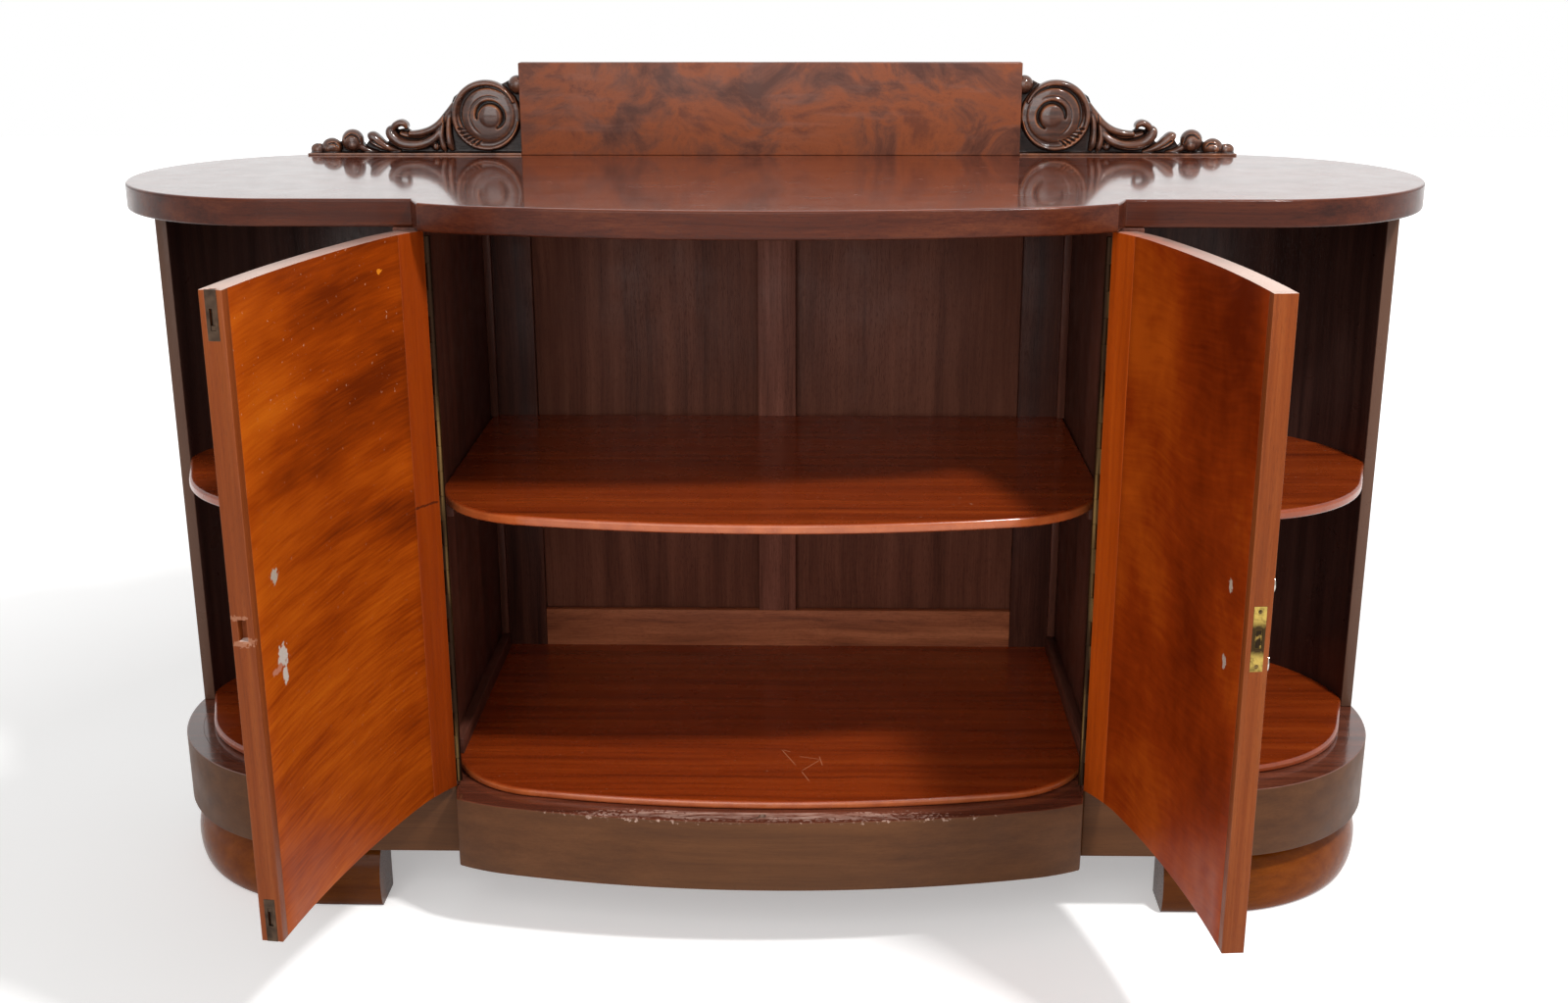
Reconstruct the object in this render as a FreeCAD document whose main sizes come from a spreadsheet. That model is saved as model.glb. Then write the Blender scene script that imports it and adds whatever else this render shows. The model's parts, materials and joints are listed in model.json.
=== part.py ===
"""Bow-fronted chiffonier: a cupboard with two curved doors between two open round ends.

Millimetres, +Z up, +X to the right of someone facing the doors, the doors towards -Y.
The origin is on the floor, under the middle of the box that holds the piece with its doors
open. Depths are measured forward from the back of the top board.
"""
import FreeCAD, Part
import Sketcher

import math
import os

SIZES = {
    # Overall
    "top_width": 1500,
    "top_height": 852,
    "top_thickness": 30,
    "top_rounding": 3,
    "lobe_depth": 435,
    "origin_setback": 398,
    # Bow of the doors, measured on their inner face, and how it ends beside the hinge lines
    "opening_width": 724,
    "bow_projection": 65,
    "bow_radius": 1378,
    "bow_end_radius": 220,
    "bow_end_run": 67,
    "top_overhang": 2,
    "top_bow_lap": 4,
    "top_corner_lap": 17,
    # Upstand and its carved brackets
    "upstand_width": 636,
    "upstand_height": 115,
    "upstand_thickness": 21,
    "upstand_offset": -8,
    "scroll_length": 275,
    "scroll_radius": 44,
    "scroll_thickness": 20,
    "scroll_base_height": 5,
    "scroll_sweep_radius": 120,
    "leaf_height": 37,
    "leaf_length": 205,
    "leaf_tail_height": 24,
    "bead_large_radius": 14.4,
    "bead_middle_radius": 11.3,
    "bead_small_radius": 7.5,
    "bead_large_reach": 218,
    "bead_middle_reach": 247,
    "bead_small_reach": 267,
    # Carcass
    "inside_reveal": 19,
    "partition_thickness": 18,
    "post_reveal": 2,
    "post_depth": 20,
    "end_panel_thickness": 14,
    "end_panel_inset": 5,
    "end_panel_setback": 22.5,
    "fit_gap": 0.3,
    # Boards
    "floor_thickness": 10,
    "shelf_thickness": 12,
    "centre_shelf_level": 509,
    "side_shelf_level": 497,
    "floor_clearance": 3,
    "shelf_clearance": 8,
    "board_corner_radius": 130,
    "board_nosing": 4,
    "side_board_inset": 36,
    "bearer_width": 16,
    "bearer_height": 18,
    "bearer_front_gap": 60,
    "cleat_width": 12,
    "cleat_height": 20,
    # Framed back
    "back_frame_thickness": 12,
    "back_frame_setback": 8,
    "back_panel_thickness": 4,
    "back_panel_lap": 10,
    "back_stile_sight": 61,
    "muntin_width": 50,
    "bottom_rail_height": 62,
    "top_rail_height": 62,
    "batten_size": 10,
    # Plinth and feet
    "foot_height": 84,
    "plinth_height": 86,
    "plinth_overhang": 5,
    "plinth_end_inset": 3,
    "plinth_reveal": 6,
    "plinth_thickness": 20,
    "plinth_bow_thickness": 24,
    "plinth_bow_lap": 2,
    "plinth_corner_lap": 4,
    "deck_thickness": 18,
    "foot_inset": 11,
    "foot_end_inset": 3,
    "foot_width": 60,
    "foot_run": 64.5,
    "foot_crown_radius": 38,
    "foot_toe_radius": 6,
    "rear_foot_length": 80,
    # Doors
    "door_thickness": 22,
    "door_gap": 2,
    "door_meeting_half": 1.25,
    "stile_width": 33,
    "lipping_thickness": 12,
    "left_open_angle": 97.8,
    "right_open_angle": 94.6,
    # Long hinges
    "barrel_radius": 3.5,
    "hinge_pin_radius": 2,
    "pin_clearance": 0.05,
    "hinge_clearance": 0.3,
    "leaf_thickness": 1.2,
    "leaf_width": 18,
    "hinge_end_gap": 6,
    "knuckle_pitch": 28,
    "knuckle_gap": 0.4,
    "hinge_seat": 2,
    "screw_head_radius": 2.8,
    "screw_shank_radius": 1.5,
    "screw_length": 12,
    "screw_play": 0.1,
    "screw_count": 6,
    # Lock
    "lock_level": 499,
    "lock_plate_height": 64,
    "lock_plate_width": 12,
    "lock_plate_thickness": 2,
    "lock_case_height": 46,
    "lock_case_width": 10,
    "lock_case_depth": 30,
    "lock_case_wall": 1.2,
    "lock_bolt_height": 18,
    "lock_bolt_width": 6,
    "lock_bolt_length": 20,
    "lock_bolt_play": 0.4,
    "lock_throw": 8,
    "lock_screw_inset": 5,
    "lock_screw_radius": 2,
    # Flush bolts
    "bolt_plate_height": 46,
    "bolt_plate_width": 11,
    "bolt_plate_thickness": 1.5,
    "bolt_radius": 2.8,
    "bolt_length": 38,
    "bolt_play": 0.4,
    "bolt_slot_height": 20,
    "bolt_slot_width": 4,
    "bolt_throw": 10,
    "bolt_socket_play": 1.5,
    # Pulls on the outside of the doors
    "pull_level": 500,
    "pull_centres": 79,
    "pull_boss_radius": 9,
    "pull_boss_height": 12,
    "pull_bar_radius": 4,
    "pull_bar_gap": 4.5,
    "pull_edge_distance": 40,
}

SHEET = "Sizes"

doc = FreeCAD.newDocument("chiffonier")
sheet = doc.addObject("Spreadsheet::Sheet", SHEET)
for row, (alias, number) in enumerate(SIZES.items(), start=1):
    sheet.set(f"A{row}", alias)
    sheet.set(f"B{row}", str(number))
    sheet.setAlias(f"B{row}", alias)
doc.recompute()


class Size:
    """A length together with the formula that gives it, so that each solid stays tied to the sheet."""

    def __init__(self, value, text):
        self.value = value
        self.text = text

    def __add__(self, other):
        other = size(other)
        return Size(self.value + other.value, f"({self.text} + {other.text})")

    def __sub__(self, other):
        other = size(other)
        return Size(self.value - other.value, f"({self.text} - {other.text})")

    def __mul__(self, other):
        other = size(other)
        return Size(self.value * other.value, f"({self.text} * {other.text})")

    def __truediv__(self, other):
        other = size(other)
        return Size(self.value / other.value, f"({self.text} / {other.text})")

    def __neg__(self):
        return Size(-self.value, f"(0 - {self.text})")


def size(number):
    """A plain number as a Size."""
    if isinstance(number, Size):
        return number
    return Size(float(number), repr(number))


def root(square):
    """Square root of a Size."""
    return Size(math.sqrt(square.value), f"sqrt({square.text})")


def cosine(angle):
    """Cosine of a Size in degrees."""
    return Size(math.cos(math.radians(angle.value)), f"cos({angle.text})")


def sine(angle):
    """Sine of a Size in degrees."""
    return Size(math.sin(math.radians(angle.value)), f"sin({angle.text})")


class Cells:
    """The sheet's cells by name."""

    def __getattr__(self, alias):
        return Size(float(sheet.get(alias)), f"{SHEET}.{alias}")


cell = Cells()
ZERO = size(0)
nodes = []


def fore(depth):
    """Y of a depth measured forward from the back."""
    return cell.origin_setback - depth


class Swing:
    """A turn about an upright hinge axis."""

    def __init__(self, x, depth, angle):
        self.x = x
        self.y = fore(depth)
        self.angle = angle
        self.cosine = cosine(angle)
        self.sine = sine(angle)

    def move(self, x, y):
        """Where a point of the closed door stands once the door is open."""
        across = x - self.x
        along = y - self.y
        new_x = self.x + across * self.cosine - along * self.sine
        new_y = self.y + across * self.sine + along * self.cosine
        return new_x, new_y


def seat(item, x, y, z, swing=None):
    """Put an object at a place, turned with its door if it is on one."""
    angle = ZERO
    if swing:
        x, y = swing.move(x, y)
        angle = swing.angle
    turn = FreeCAD.Rotation(FreeCAD.Vector(0, 0, 1), angle.value)
    item.Placement = FreeCAD.Placement(FreeCAD.Vector(x.value, y.value, z.value), turn)
    item.setExpression("Placement.Base.x", x.text)
    item.setExpression("Placement.Base.y", y.text)
    item.setExpression("Placement.Base.z", z.text)
    if swing:
        item.setExpression("Placement.Rotation.Angle", angle.text)


def keep(item, label):
    """Name a finished piece and list it for export."""
    item.Label = label
    nodes.append(item)
    return item


def block(name, x_range, depth_range, z_range, swing=None):
    """Square-edged block between two positions each way."""
    box = doc.addObject("Part::Box", name)
    left, right = x_range
    rear, front = depth_range
    bottom, top = z_range
    box.setExpression("Length", (right - left).text)
    box.setExpression("Width", (front - rear).text)
    box.setExpression("Height", (top - bottom).text)
    seat(box, left, fore(front), bottom, swing)
    return box


def spanned(side, inner, outer):
    """X range between two half widths, on the left for -1 and the right for +1."""
    if side > 0:
        return inner, outer
    return -outer, -inner


def rod(name, x, depth, z_range, radius, swing=None):
    """Upright round rod."""
    cylinder = doc.addObject("Part::Cylinder", name)
    bottom, top = z_range
    cylinder.setExpression("Radius", radius.text)
    cylinder.setExpression("Height", (top - bottom).text)
    seat(cylinder, x, fore(depth), bottom, swing)
    return cylinder


def cut(name, base, tools):
    """A piece with other shapes taken out of it."""
    tool = tools[0]
    if len(tools) > 1:
        tool = doc.addObject("Part::MultiFuse", f"{name}_cutters")
        tool.Shapes = tools
    result = doc.addObject("Part::Cut", name)
    result.Base = base
    result.Tool = tool
    return result


def fuse(name, pieces):
    """Several shapes grown into one solid."""
    result = doc.addObject("Part::MultiFuse", name)
    result.Shapes = pieces
    return result


def group(name, pieces):
    """Separate like solids under one name."""
    result = doc.addObject("Part::Compound", name)
    result.Links = pieces
    return result


def line_to(x, y):
    """Straight step of an outline."""
    return {"end": (size(x), size(y))}


def arc_to(x, y, radius, turn):
    """Round step of an outline, turning left for +1 and right for -1."""
    return {"end": (size(x), size(y)), "radius": size(radius), "turn": turn}


def mirrored(outline):
    """The same outline on the other side of the middle."""
    start, steps = outline
    flipped = []
    for step in steps:
        x, y = step["end"]
        new_step = dict(step, end=(-x, y))
        if "turn" in step:
            new_step["turn"] = -step["turn"]
        flipped.append(new_step)
    return (-start[0], start[1]), flipped


def sided(outline, side):
    """An outline drawn for the right side, mirrored for the left."""
    if side > 0:
        return outline
    return mirrored(outline)


def arc_geometry(start, end, radius, turn):
    """Arc between two points, always stored anticlockwise."""
    chord = end - start
    middle = (start + end) * 0.5
    normal = FreeCAD.Vector(-chord.y, chord.x, 0).normalize()
    lift = math.sqrt(max(radius ** 2 - (chord.Length / 2) ** 2, 0))
    centre = middle + normal * (lift * turn)
    first = start if turn > 0 else end
    last = end if turn > 0 else start
    from_angle = math.atan2(first.y - centre.y, first.x - centre.x)
    to_angle = math.atan2(last.y - centre.y, last.x - centre.x)
    if to_angle < from_angle:
        to_angle += 2 * math.pi
    circle = Part.Circle(centre, FreeCAD.Vector(0, 0, 1), radius)
    return Part.ArcOfCircle(circle, from_angle, to_angle)


def draw(sketch, outline):
    """Draw a closed outline and tie each corner and radius to its formula."""
    start, steps = outline
    corners = [start] + [step["end"] for step in steps]
    points = [FreeCAD.Vector(x.value, y.value, 0) for x, y in corners]
    ends = []
    for index, step in enumerate(steps):
        first, last = points[index], points[index + 1]
        if "radius" in step:
            edge = arc_geometry(first, last, step["radius"].value, step["turn"])
            ends.append((1, 2) if step["turn"] > 0 else (2, 1))
        else:
            edge = Part.LineSegment(first, last)
            ends.append((1, 2))
        sketch.addGeometry(edge, False)
    for index, step in enumerate(steps):
        following = (index + 1) % len(steps)
        joint = Sketcher.Constraint("Coincident", index, ends[index][1], following, ends[following][0])
        sketch.addConstraint(joint)
    for index, step in enumerate(steps):
        x, y = corners[index]
        for kind, measure in (("DistanceX", x), ("DistanceY", y)):
            place = Sketcher.Constraint(kind, index, ends[index][0], measure.value)
            number = sketch.addConstraint(place)
            sketch.setExpression(f"Constraints[{number}]", measure.text)
        if "radius" in step:
            bend = Sketcher.Constraint("Radius", index, step["radius"].value)
            number = sketch.addConstraint(bend)
            sketch.setExpression(f"Constraints[{number}]", step["radius"].text)


def origin_plane(body, role):
    """One of a body's own base planes."""
    return next(plane for plane in body.Origin.OriginFeatures if plane.Role == role)


def slab(name, outline, z_range, swing=None):
    """Board of a shaped plan between two heights."""
    bottom, top = z_range
    body = doc.addObject("PartDesign::Body", name)
    sketch = body.newObject("Sketcher::SketchObject", f"{name}_plan")
    sketch.AttachmentSupport = [(origin_plane(body, "XY_Plane"), "")]
    sketch.MapMode = "FlatFace"
    draw(sketch, outline)
    pad = body.newObject("PartDesign::Pad", f"{name}_pad")
    pad.Profile = sketch
    pad.setExpression("Length", (top - bottom).text)
    body.Tip = pad
    seat(body, ZERO, ZERO, bottom, swing)
    return body


def soften(body, radius, wanted):
    """Round the level edges of a board that the test picks by their middle point."""
    doc.recompute()
    pad = body.Tip
    names = []
    for index, edge in enumerate(pad.Shape.Edges, start=1):
        box = edge.BoundBox
        if box.ZLength < 1e-6 and wanted(edge.CenterOfMass):
            names.append(f"Edge{index}")
    fillet = body.newObject("PartDesign::Fillet", f"{body.Name}_rounding")
    fillet.Base = (pad, names)
    fillet.setExpression("Radius", radius.text)
    body.Tip = fillet
    return body


# Levels
plinth_bottom = cell.foot_height
ledge_level = plinth_bottom + cell.plinth_height
floor_level = ledge_level + cell.floor_thickness
top_underside = cell.top_height - cell.top_thickness
door_bottom = ledge_level + cell.door_gap
door_top = top_underside - cell.door_gap
carcass_height = (ledge_level, top_underside)

# The bow: one wide arc with a tighter arc at each end, all offsets sharing their centres
hinge_half = cell.opening_width / 2
bow_depth = cell.lobe_depth + cell.bow_projection
bow_sine = (hinge_half - cell.bow_end_run) / cell.bow_radius
bow_cosine = root(size(1) - bow_sine * bow_sine)
bow_centre_depth = bow_depth - cell.bow_radius
end_arm = cell.bow_radius - cell.bow_end_radius
end_centre_x = end_arm * bow_sine
end_centre_depth = bow_centre_depth + end_arm * bow_cosine


def bow_join(offset):
    """Where the wide arc meets the end arc, on the right, as x and depth."""
    radius = cell.bow_radius + offset
    return radius * bow_sine, bow_centre_depth + radius * bow_cosine


def bow_end_depth(offset, x):
    """Depth of the end arc at a half width."""
    radius = cell.bow_end_radius + offset
    across = x - end_centre_x
    return end_centre_depth + root(radius * radius - across * across)


def bow_main_depth(offset, x):
    """Depth of the wide arc at a half width."""
    radius = cell.bow_radius + offset
    return bow_centre_depth + root(radius * radius - x * x)


def bow_steps(offset, half):
    """Outline steps from the right end of a bow to its left end."""
    join_x, join_depth = bow_join(offset)
    main = cell.bow_radius + offset
    tight = cell.bow_end_radius + offset
    return [
        arc_to(join_x, fore(join_depth), tight, -1),
        arc_to(-join_x, fore(join_depth), main, -1),
        arc_to(-half, fore(bow_end_depth(offset, half)), tight, -1),
    ]


# Round ends: a quarter circle forward and a quarter circle back from the widest point
lobe_middle = cell.lobe_depth / 2


def lobed_plan(half, rear, front, bow_offset, bow_half, corner_half):
    """Plan with two round ends and a bow between two re-entrant corners."""
    front_radius = front - lobe_middle
    rear_radius = lobe_middle - rear
    front_x = half - front_radius
    rear_x = half - rear_radius
    bow_end = bow_end_depth(bow_offset, bow_half)
    start = (-rear_x, fore(rear))
    steps = [
        line_to(rear_x, fore(rear)),
        arc_to(half, fore(lobe_middle), rear_radius, -1),
        arc_to(front_x, fore(front), front_radius, -1),
        line_to(corner_half, fore(front)),
        line_to(bow_half, fore(bow_end)),
        *bow_steps(bow_offset, bow_half),
        line_to(-corner_half, fore(front)),
        line_to(-front_x, fore(front)),
        arc_to(-half, fore(lobe_middle), front_radius, -1),
        arc_to(-rear_x, fore(rear), rear_radius, -1),
    ]
    return start, steps


# Hinge line: the barrel sits in the corner between the post and the door's hinge edge
hinge_edge_half = hinge_half - cell.barrel_radius - cell.hinge_clearance
hinge_depth = bow_end_depth(ZERO, hinge_edge_half) - cell.hinge_seat
post_front = hinge_depth - cell.barrel_radius
left_swing = Swing(-hinge_half, hinge_depth, -cell.left_open_angle)
right_swing = Swing(hinge_half, hinge_depth, cell.right_open_angle)
swings = {-1: left_swing, 1: right_swing}
side_names = {-1: "left", 1: "right"}

# Top board, with sockets for the flush bolts' upper rod
door_middle_depth = bow_depth + cell.door_thickness / 2
bolt_x = -(cell.door_meeting_half + cell.bolt_plate_thickness + cell.bolt_radius + cell.bolt_play)
socket_depth = cell.bolt_throw + cell.bolt_socket_play
socket_radius = cell.bolt_radius + cell.bolt_socket_play
top_outline = lobed_plan(
    cell.top_width / 2,
    ZERO,
    cell.lobe_depth,
    cell.door_thickness + cell.top_overhang,
    hinge_half + cell.top_bow_lap,
    hinge_half + cell.top_corner_lap,
)
top_blank = slab("top_blank", top_outline, (top_underside, cell.top_height))
soften(top_blank, cell.top_rounding, lambda middle: True)
top_socket_range = (top_underside - socket_depth, top_underside + socket_depth)
top_socket = rod("top_socket", bolt_x, door_middle_depth, top_socket_range, socket_radius)
keep(cut("top_cut", top_blank, [top_socket]), "top_board")

# Upstand panel
upstand_left = cell.upstand_offset - cell.upstand_width / 2
upstand_right = cell.upstand_offset + cell.upstand_width / 2
upstand_top = cell.top_height + cell.upstand_height
upstand = block(
    "upstand", (upstand_left, upstand_right), (ZERO, cell.upstand_thickness), (cell.top_height, upstand_top)
)
keep(upstand, "upstand_panel")


def scroll_outline(foot, side):
    """Front view of the sweep between the volute and the beads, in x and height."""
    volute_x = foot + cell.scroll_radius * side
    shoulder = foot + cell.scroll_radius * size(2 * side)
    leaf_tip = foot + (cell.leaf_length - cell.leaf_height) * side
    leaf_end = foot + cell.leaf_length * side
    far_end = foot + cell.scroll_length * side
    start = (foot, ZERO)
    steps = [
        line_to(foot, cell.scroll_radius),
        line_to(volute_x, cell.scroll_radius * 2),
        line_to(shoulder, cell.scroll_radius),
        arc_to(leaf_tip, cell.leaf_height, cell.scroll_sweep_radius, side),
        line_to(leaf_end, cell.leaf_tail_height),
        line_to(leaf_end, cell.scroll_base_height),
        line_to(far_end, cell.scroll_base_height),
        line_to(far_end, ZERO),
        line_to(foot, ZERO),
    ]
    return start, steps


def scroll(side):
    """Carved bracket: volute, sweep with its leaf, and three beads on a low base."""
    name = f"{side_names[side]}_scroll"
    foot = upstand_left if side < 0 else upstand_right
    body = doc.addObject("PartDesign::Body", f"{name}_sweep")
    sketch = body.newObject("Sketcher::SketchObject", f"{name}_front")
    sketch.AttachmentSupport = [(origin_plane(body, "XZ_Plane"), "")]
    sketch.MapMode = "FlatFace"
    draw(sketch, scroll_outline(foot, side))
    pad = body.newObject("PartDesign::Pad", f"{name}_pad")
    pad.Profile = sketch
    pad.setExpression("Length", cell.scroll_thickness.text)
    body.Tip = pad
    seat(body, ZERO, fore(ZERO), cell.top_height)
    pieces = [body]
    volute = doc.addObject("Part::Cylinder", f"{name}_volute")
    volute.setExpression("Radius", cell.scroll_radius.text)
    volute.setExpression("Height", cell.upstand_thickness.text)
    volute_x = foot + cell.scroll_radius * side
    volute.Placement = FreeCAD.Placement(
        FreeCAD.Vector(0, 0, 0), FreeCAD.Rotation(FreeCAD.Vector(1, 0, 0), 90)
    )
    volute.setExpression("Placement.Base.x", volute_x.text)
    volute.setExpression("Placement.Base.y", fore(ZERO).text)
    volute.setExpression("Placement.Base.z", (cell.top_height + cell.scroll_radius).text)
    pieces.append(volute)
    beads = (
        ("large", cell.bead_large_radius, cell.bead_large_reach),
        ("middle", cell.bead_middle_radius, cell.bead_middle_reach),
        ("small", cell.bead_small_radius, cell.bead_small_reach),
    )
    for bead_name, radius, reach in beads:
        bead = doc.addObject("Part::Sphere", f"{name}_{bead_name}_bead")
        bead.setExpression("Radius", radius.text)
        seat(bead, foot + reach * side, fore(cell.bead_large_radius), cell.top_height + radius)
        pieces.append(bead)
    keep(fuse(name, pieces), f"scroll_{side_names[side]}")


for side in (-1, 1):
    scroll(side)

# Partitions, posts and bent end panels
inside_half = hinge_half + cell.inside_reveal
partition_outer = inside_half + cell.partition_thickness
back_front = cell.back_frame_setback + cell.back_frame_thickness
post_rear = post_front - cell.post_depth
lobe_centre_x = cell.top_width / 2 - lobe_middle
end_outer_radius = lobe_middle - cell.end_panel_inset
end_inner_radius = end_outer_radius - cell.end_panel_thickness
end_rear_face = cell.end_panel_inset + cell.end_panel_thickness
end_panel_front = lobe_middle - cell.end_panel_setback


def lobe_x(radius, depth):
    """Half width of a circle about the round end's centre, at a depth."""
    back = lobe_middle - depth
    return lobe_centre_x + root(radius * radius - back * back)


def end_panel_outline():
    """Straight run along the back, then a bend round the back of the end."""
    start = (partition_outer, fore(cell.end_panel_inset))
    steps = [
        line_to(lobe_centre_x, fore(cell.end_panel_inset)),
        arc_to(lobe_x(end_outer_radius, end_panel_front), fore(end_panel_front), end_outer_radius, -1),
        line_to(lobe_x(end_inner_radius, end_panel_front), fore(end_panel_front)),
        arc_to(lobe_centre_x, fore(end_rear_face), end_inner_radius, 1),
        line_to(partition_outer, fore(end_rear_face)),
        line_to(partition_outer, fore(cell.end_panel_inset)),
    ]
    return start, steps


screw_centre_half = hinge_half + cell.barrel_radius + cell.hinge_clearance + cell.leaf_width / 2
hinge_bottom = door_bottom + cell.hinge_end_gap
hinge_top = door_top - cell.hinge_end_gap
hinge_length = hinge_top - hinge_bottom
screw_rows = int(cell.screw_count.value)
screw_levels = [hinge_bottom + hinge_length * (row + 0.5) / cell.screw_count for row in range(screw_rows)]


def lying_rod(name, place, length, radius, lay, swing=None):
    """Round rod laid down by a rotation, then turned with its door if it is on one."""
    x, depth, z = place
    y = fore(depth)
    angle = ZERO
    if swing:
        x, y = swing.move(x, y)
        angle = swing.angle
    turn = FreeCAD.Rotation(FreeCAD.Vector(0, 0, 1), angle.value)
    cylinder = doc.addObject("Part::Cylinder", name)
    cylinder.setExpression("Radius", radius.text)
    cylinder.setExpression("Height", length.text)
    cylinder.Placement = FreeCAD.Placement(FreeCAD.Vector(x.value, y.value, z.value), turn * lay)
    cylinder.setExpression("Placement.Base.x", x.text)
    cylinder.setExpression("Placement.Base.y", y.text)
    cylinder.setExpression("Placement.Base.z", z.text)
    return cylinder


def level_rod(name, place, length, radius, swing=None):
    """Round rod lying from a place towards the back."""
    lay = FreeCAD.Rotation(FreeCAD.Vector(1, 0, 0), -90)
    return lying_rod(name, place, length, radius, lay, swing)


def side_rod(name, side, place, length, radius, swing=None):
    """Round rod lying from a place towards the middle, if it is on the given side of it."""
    lay = FreeCAD.Rotation(FreeCAD.Vector(0, 1, 0), -90 * side)
    return lying_rod(name, place, length, radius, lay, swing)


leaf_front = post_front + cell.leaf_thickness
shank_length = cell.screw_length - cell.screw_play
pilot_radius = cell.screw_shank_radius + cell.screw_play
frame_screws = []
for side in (-1, 1):
    name = side_names[side]
    inner_face = spanned(side, inside_half, partition_outer)
    keep(block(f"{name}_wall", inner_face, (back_front, post_rear), carcass_height), f"partition_{name}")
    post_width = spanned(side, hinge_half + cell.post_reveal, partition_outer)
    post_blank = block(f"{name}_post_blank", post_width, (post_rear, post_front), carcass_height)
    pilot_holes = []
    for row, level in enumerate(screw_levels):
        place = (screw_centre_half * side, leaf_front, level)
        pilot_holes.append(level_rod(f"{name}_pilot_{row}", place, cell.screw_length, pilot_radius))
        shank = level_rod(f"{name}_shank_{row}", place, shank_length, cell.screw_shank_radius)
        head = level_rod(f"{name}_head_{row}", place, cell.leaf_thickness, cell.screw_head_radius)
        frame_screws.append(fuse(f"{name}_frame_screw_{row}", [shank, head]))
    keep(cut(f"{name}_post", post_blank, pilot_holes), f"hinge_post_{name}")
    keep(slab(f"{name}_end", sided(end_panel_outline(), side), carcass_height), f"end_panel_{name}")
keep(group("frame_screw_set", frame_screws), "hinge_frame_screws")


# Boards of the centre cupboard: the bow again, with large round corners
def centre_board_outline(clearance):
    """Plan of a centre shelf or floor, set back from the closed doors."""
    half = inside_half - cell.fit_gap
    main = cell.bow_radius - clearance
    corner = cell.board_corner_radius
    arm = main - corner
    centre_x = half - corner
    centre_depth = bow_centre_depth + root(arm * arm - centre_x * centre_x)
    join_x = centre_x * main / arm
    join_depth = bow_centre_depth + (centre_depth - bow_centre_depth) * main / arm
    start = (-half, fore(back_front))
    steps = [
        line_to(half, fore(back_front)),
        line_to(half, fore(centre_depth)),
        arc_to(join_x, fore(join_depth), corner, -1),
        arc_to(-join_x, fore(join_depth), main, -1),
        arc_to(-half, fore(centre_depth), corner, -1),
        line_to(-half, fore(back_front)),
    ]
    return start, steps


def side_board_outline():
    """Plan of an end shelf or floor on the right, out to the open round front."""
    front = cell.lobe_depth - cell.side_board_inset
    round_radius = front - lobe_middle
    panel_radius = end_inner_radius - cell.fit_gap
    panel_x = lobe_x(panel_radius, end_panel_front)
    across = panel_x - lobe_centre_x
    behind = lobe_middle - end_panel_front
    reach = root(panel_radius * panel_radius - round_radius * round_radius)
    share = round_radius / (panel_radius * panel_radius)
    touch_x = lobe_centre_x + share * (across * round_radius + behind * reach)
    touch_depth = lobe_middle + share * (across * reach - behind * round_radius)
    near = partition_outer
    rear = end_rear_face + cell.fit_gap
    start = (near, fore(rear))
    steps = [
        line_to(lobe_centre_x, fore(rear)),
        arc_to(panel_x, fore(end_panel_front), panel_radius, -1),
        line_to(touch_x, fore(touch_depth)),
        arc_to(lobe_centre_x, fore(front), round_radius, -1),
        line_to(near, fore(front)),
        line_to(near, fore(rear)),
    ]
    return start, steps


def in_front_of(depth):
    """Test for edges whose middle lies forward of a depth."""
    limit = fore(depth).value
    return lambda middle: middle.y < limit


floor_range = (ledge_level, floor_level)
centre_floor = slab("centre_floor_board", centre_board_outline(cell.floor_clearance), floor_range)
soften(centre_floor, cell.board_nosing, in_front_of(cell.lobe_depth))
keep(centre_floor, "centre_floor")
shelf_range = (cell.centre_shelf_level - cell.shelf_thickness, cell.centre_shelf_level)
centre_shelf = slab("centre_shelf_board", centre_board_outline(cell.shelf_clearance), shelf_range)
soften(centre_shelf, cell.board_nosing, in_front_of(cell.lobe_depth))
keep(centre_shelf, "centre_shelf")
side_shelf_range = (cell.side_shelf_level - cell.shelf_thickness, cell.side_shelf_level)
bearer_front = cell.lobe_depth - cell.bearer_front_gap
cleats = []
for side in (-1, 1):
    name = side_names[side]
    plan = sided(side_board_outline(), side)
    side_floor = slab(f"{name}_floor_board", plan, floor_range)
    soften(side_floor, cell.board_nosing, in_front_of(lobe_middle))
    keep(side_floor, f"{name}_floor")
    side_shelf = slab(f"{name}_shelf_board", plan, side_shelf_range)
    soften(side_shelf, cell.board_nosing, in_front_of(lobe_middle))
    keep(side_shelf, f"{name}_shelf")
    bearer_rear = back_front + cell.batten_size + cell.fit_gap
    inner_bearer = block(
        f"{name}_inner_bearer",
        spanned(side, inside_half - cell.bearer_width, inside_half),
        (bearer_rear, bearer_front),
        (shelf_range[0] - cell.bearer_height, shelf_range[0]),
    )
    outer_bearer = block(
        f"{name}_outer_bearer",
        spanned(side, partition_outer, partition_outer + cell.bearer_width),
        (end_rear_face, bearer_front),
        (side_shelf_range[0] - cell.bearer_height, side_shelf_range[0]),
    )
    keep(group(f"{name}_bearers", [inner_bearer, outer_bearer]), f"shelf_bearers_{name}")
    cleat = block(
        f"{name}_cleat",
        spanned(side, inside_half - cell.cleat_width, inside_half),
        (bearer_rear, bearer_front),
        (floor_level, floor_level + cell.cleat_height),
    )
    cleats.append(cleat)
keep(group("cleat_pair", cleats), "floor_cleats")

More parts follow.
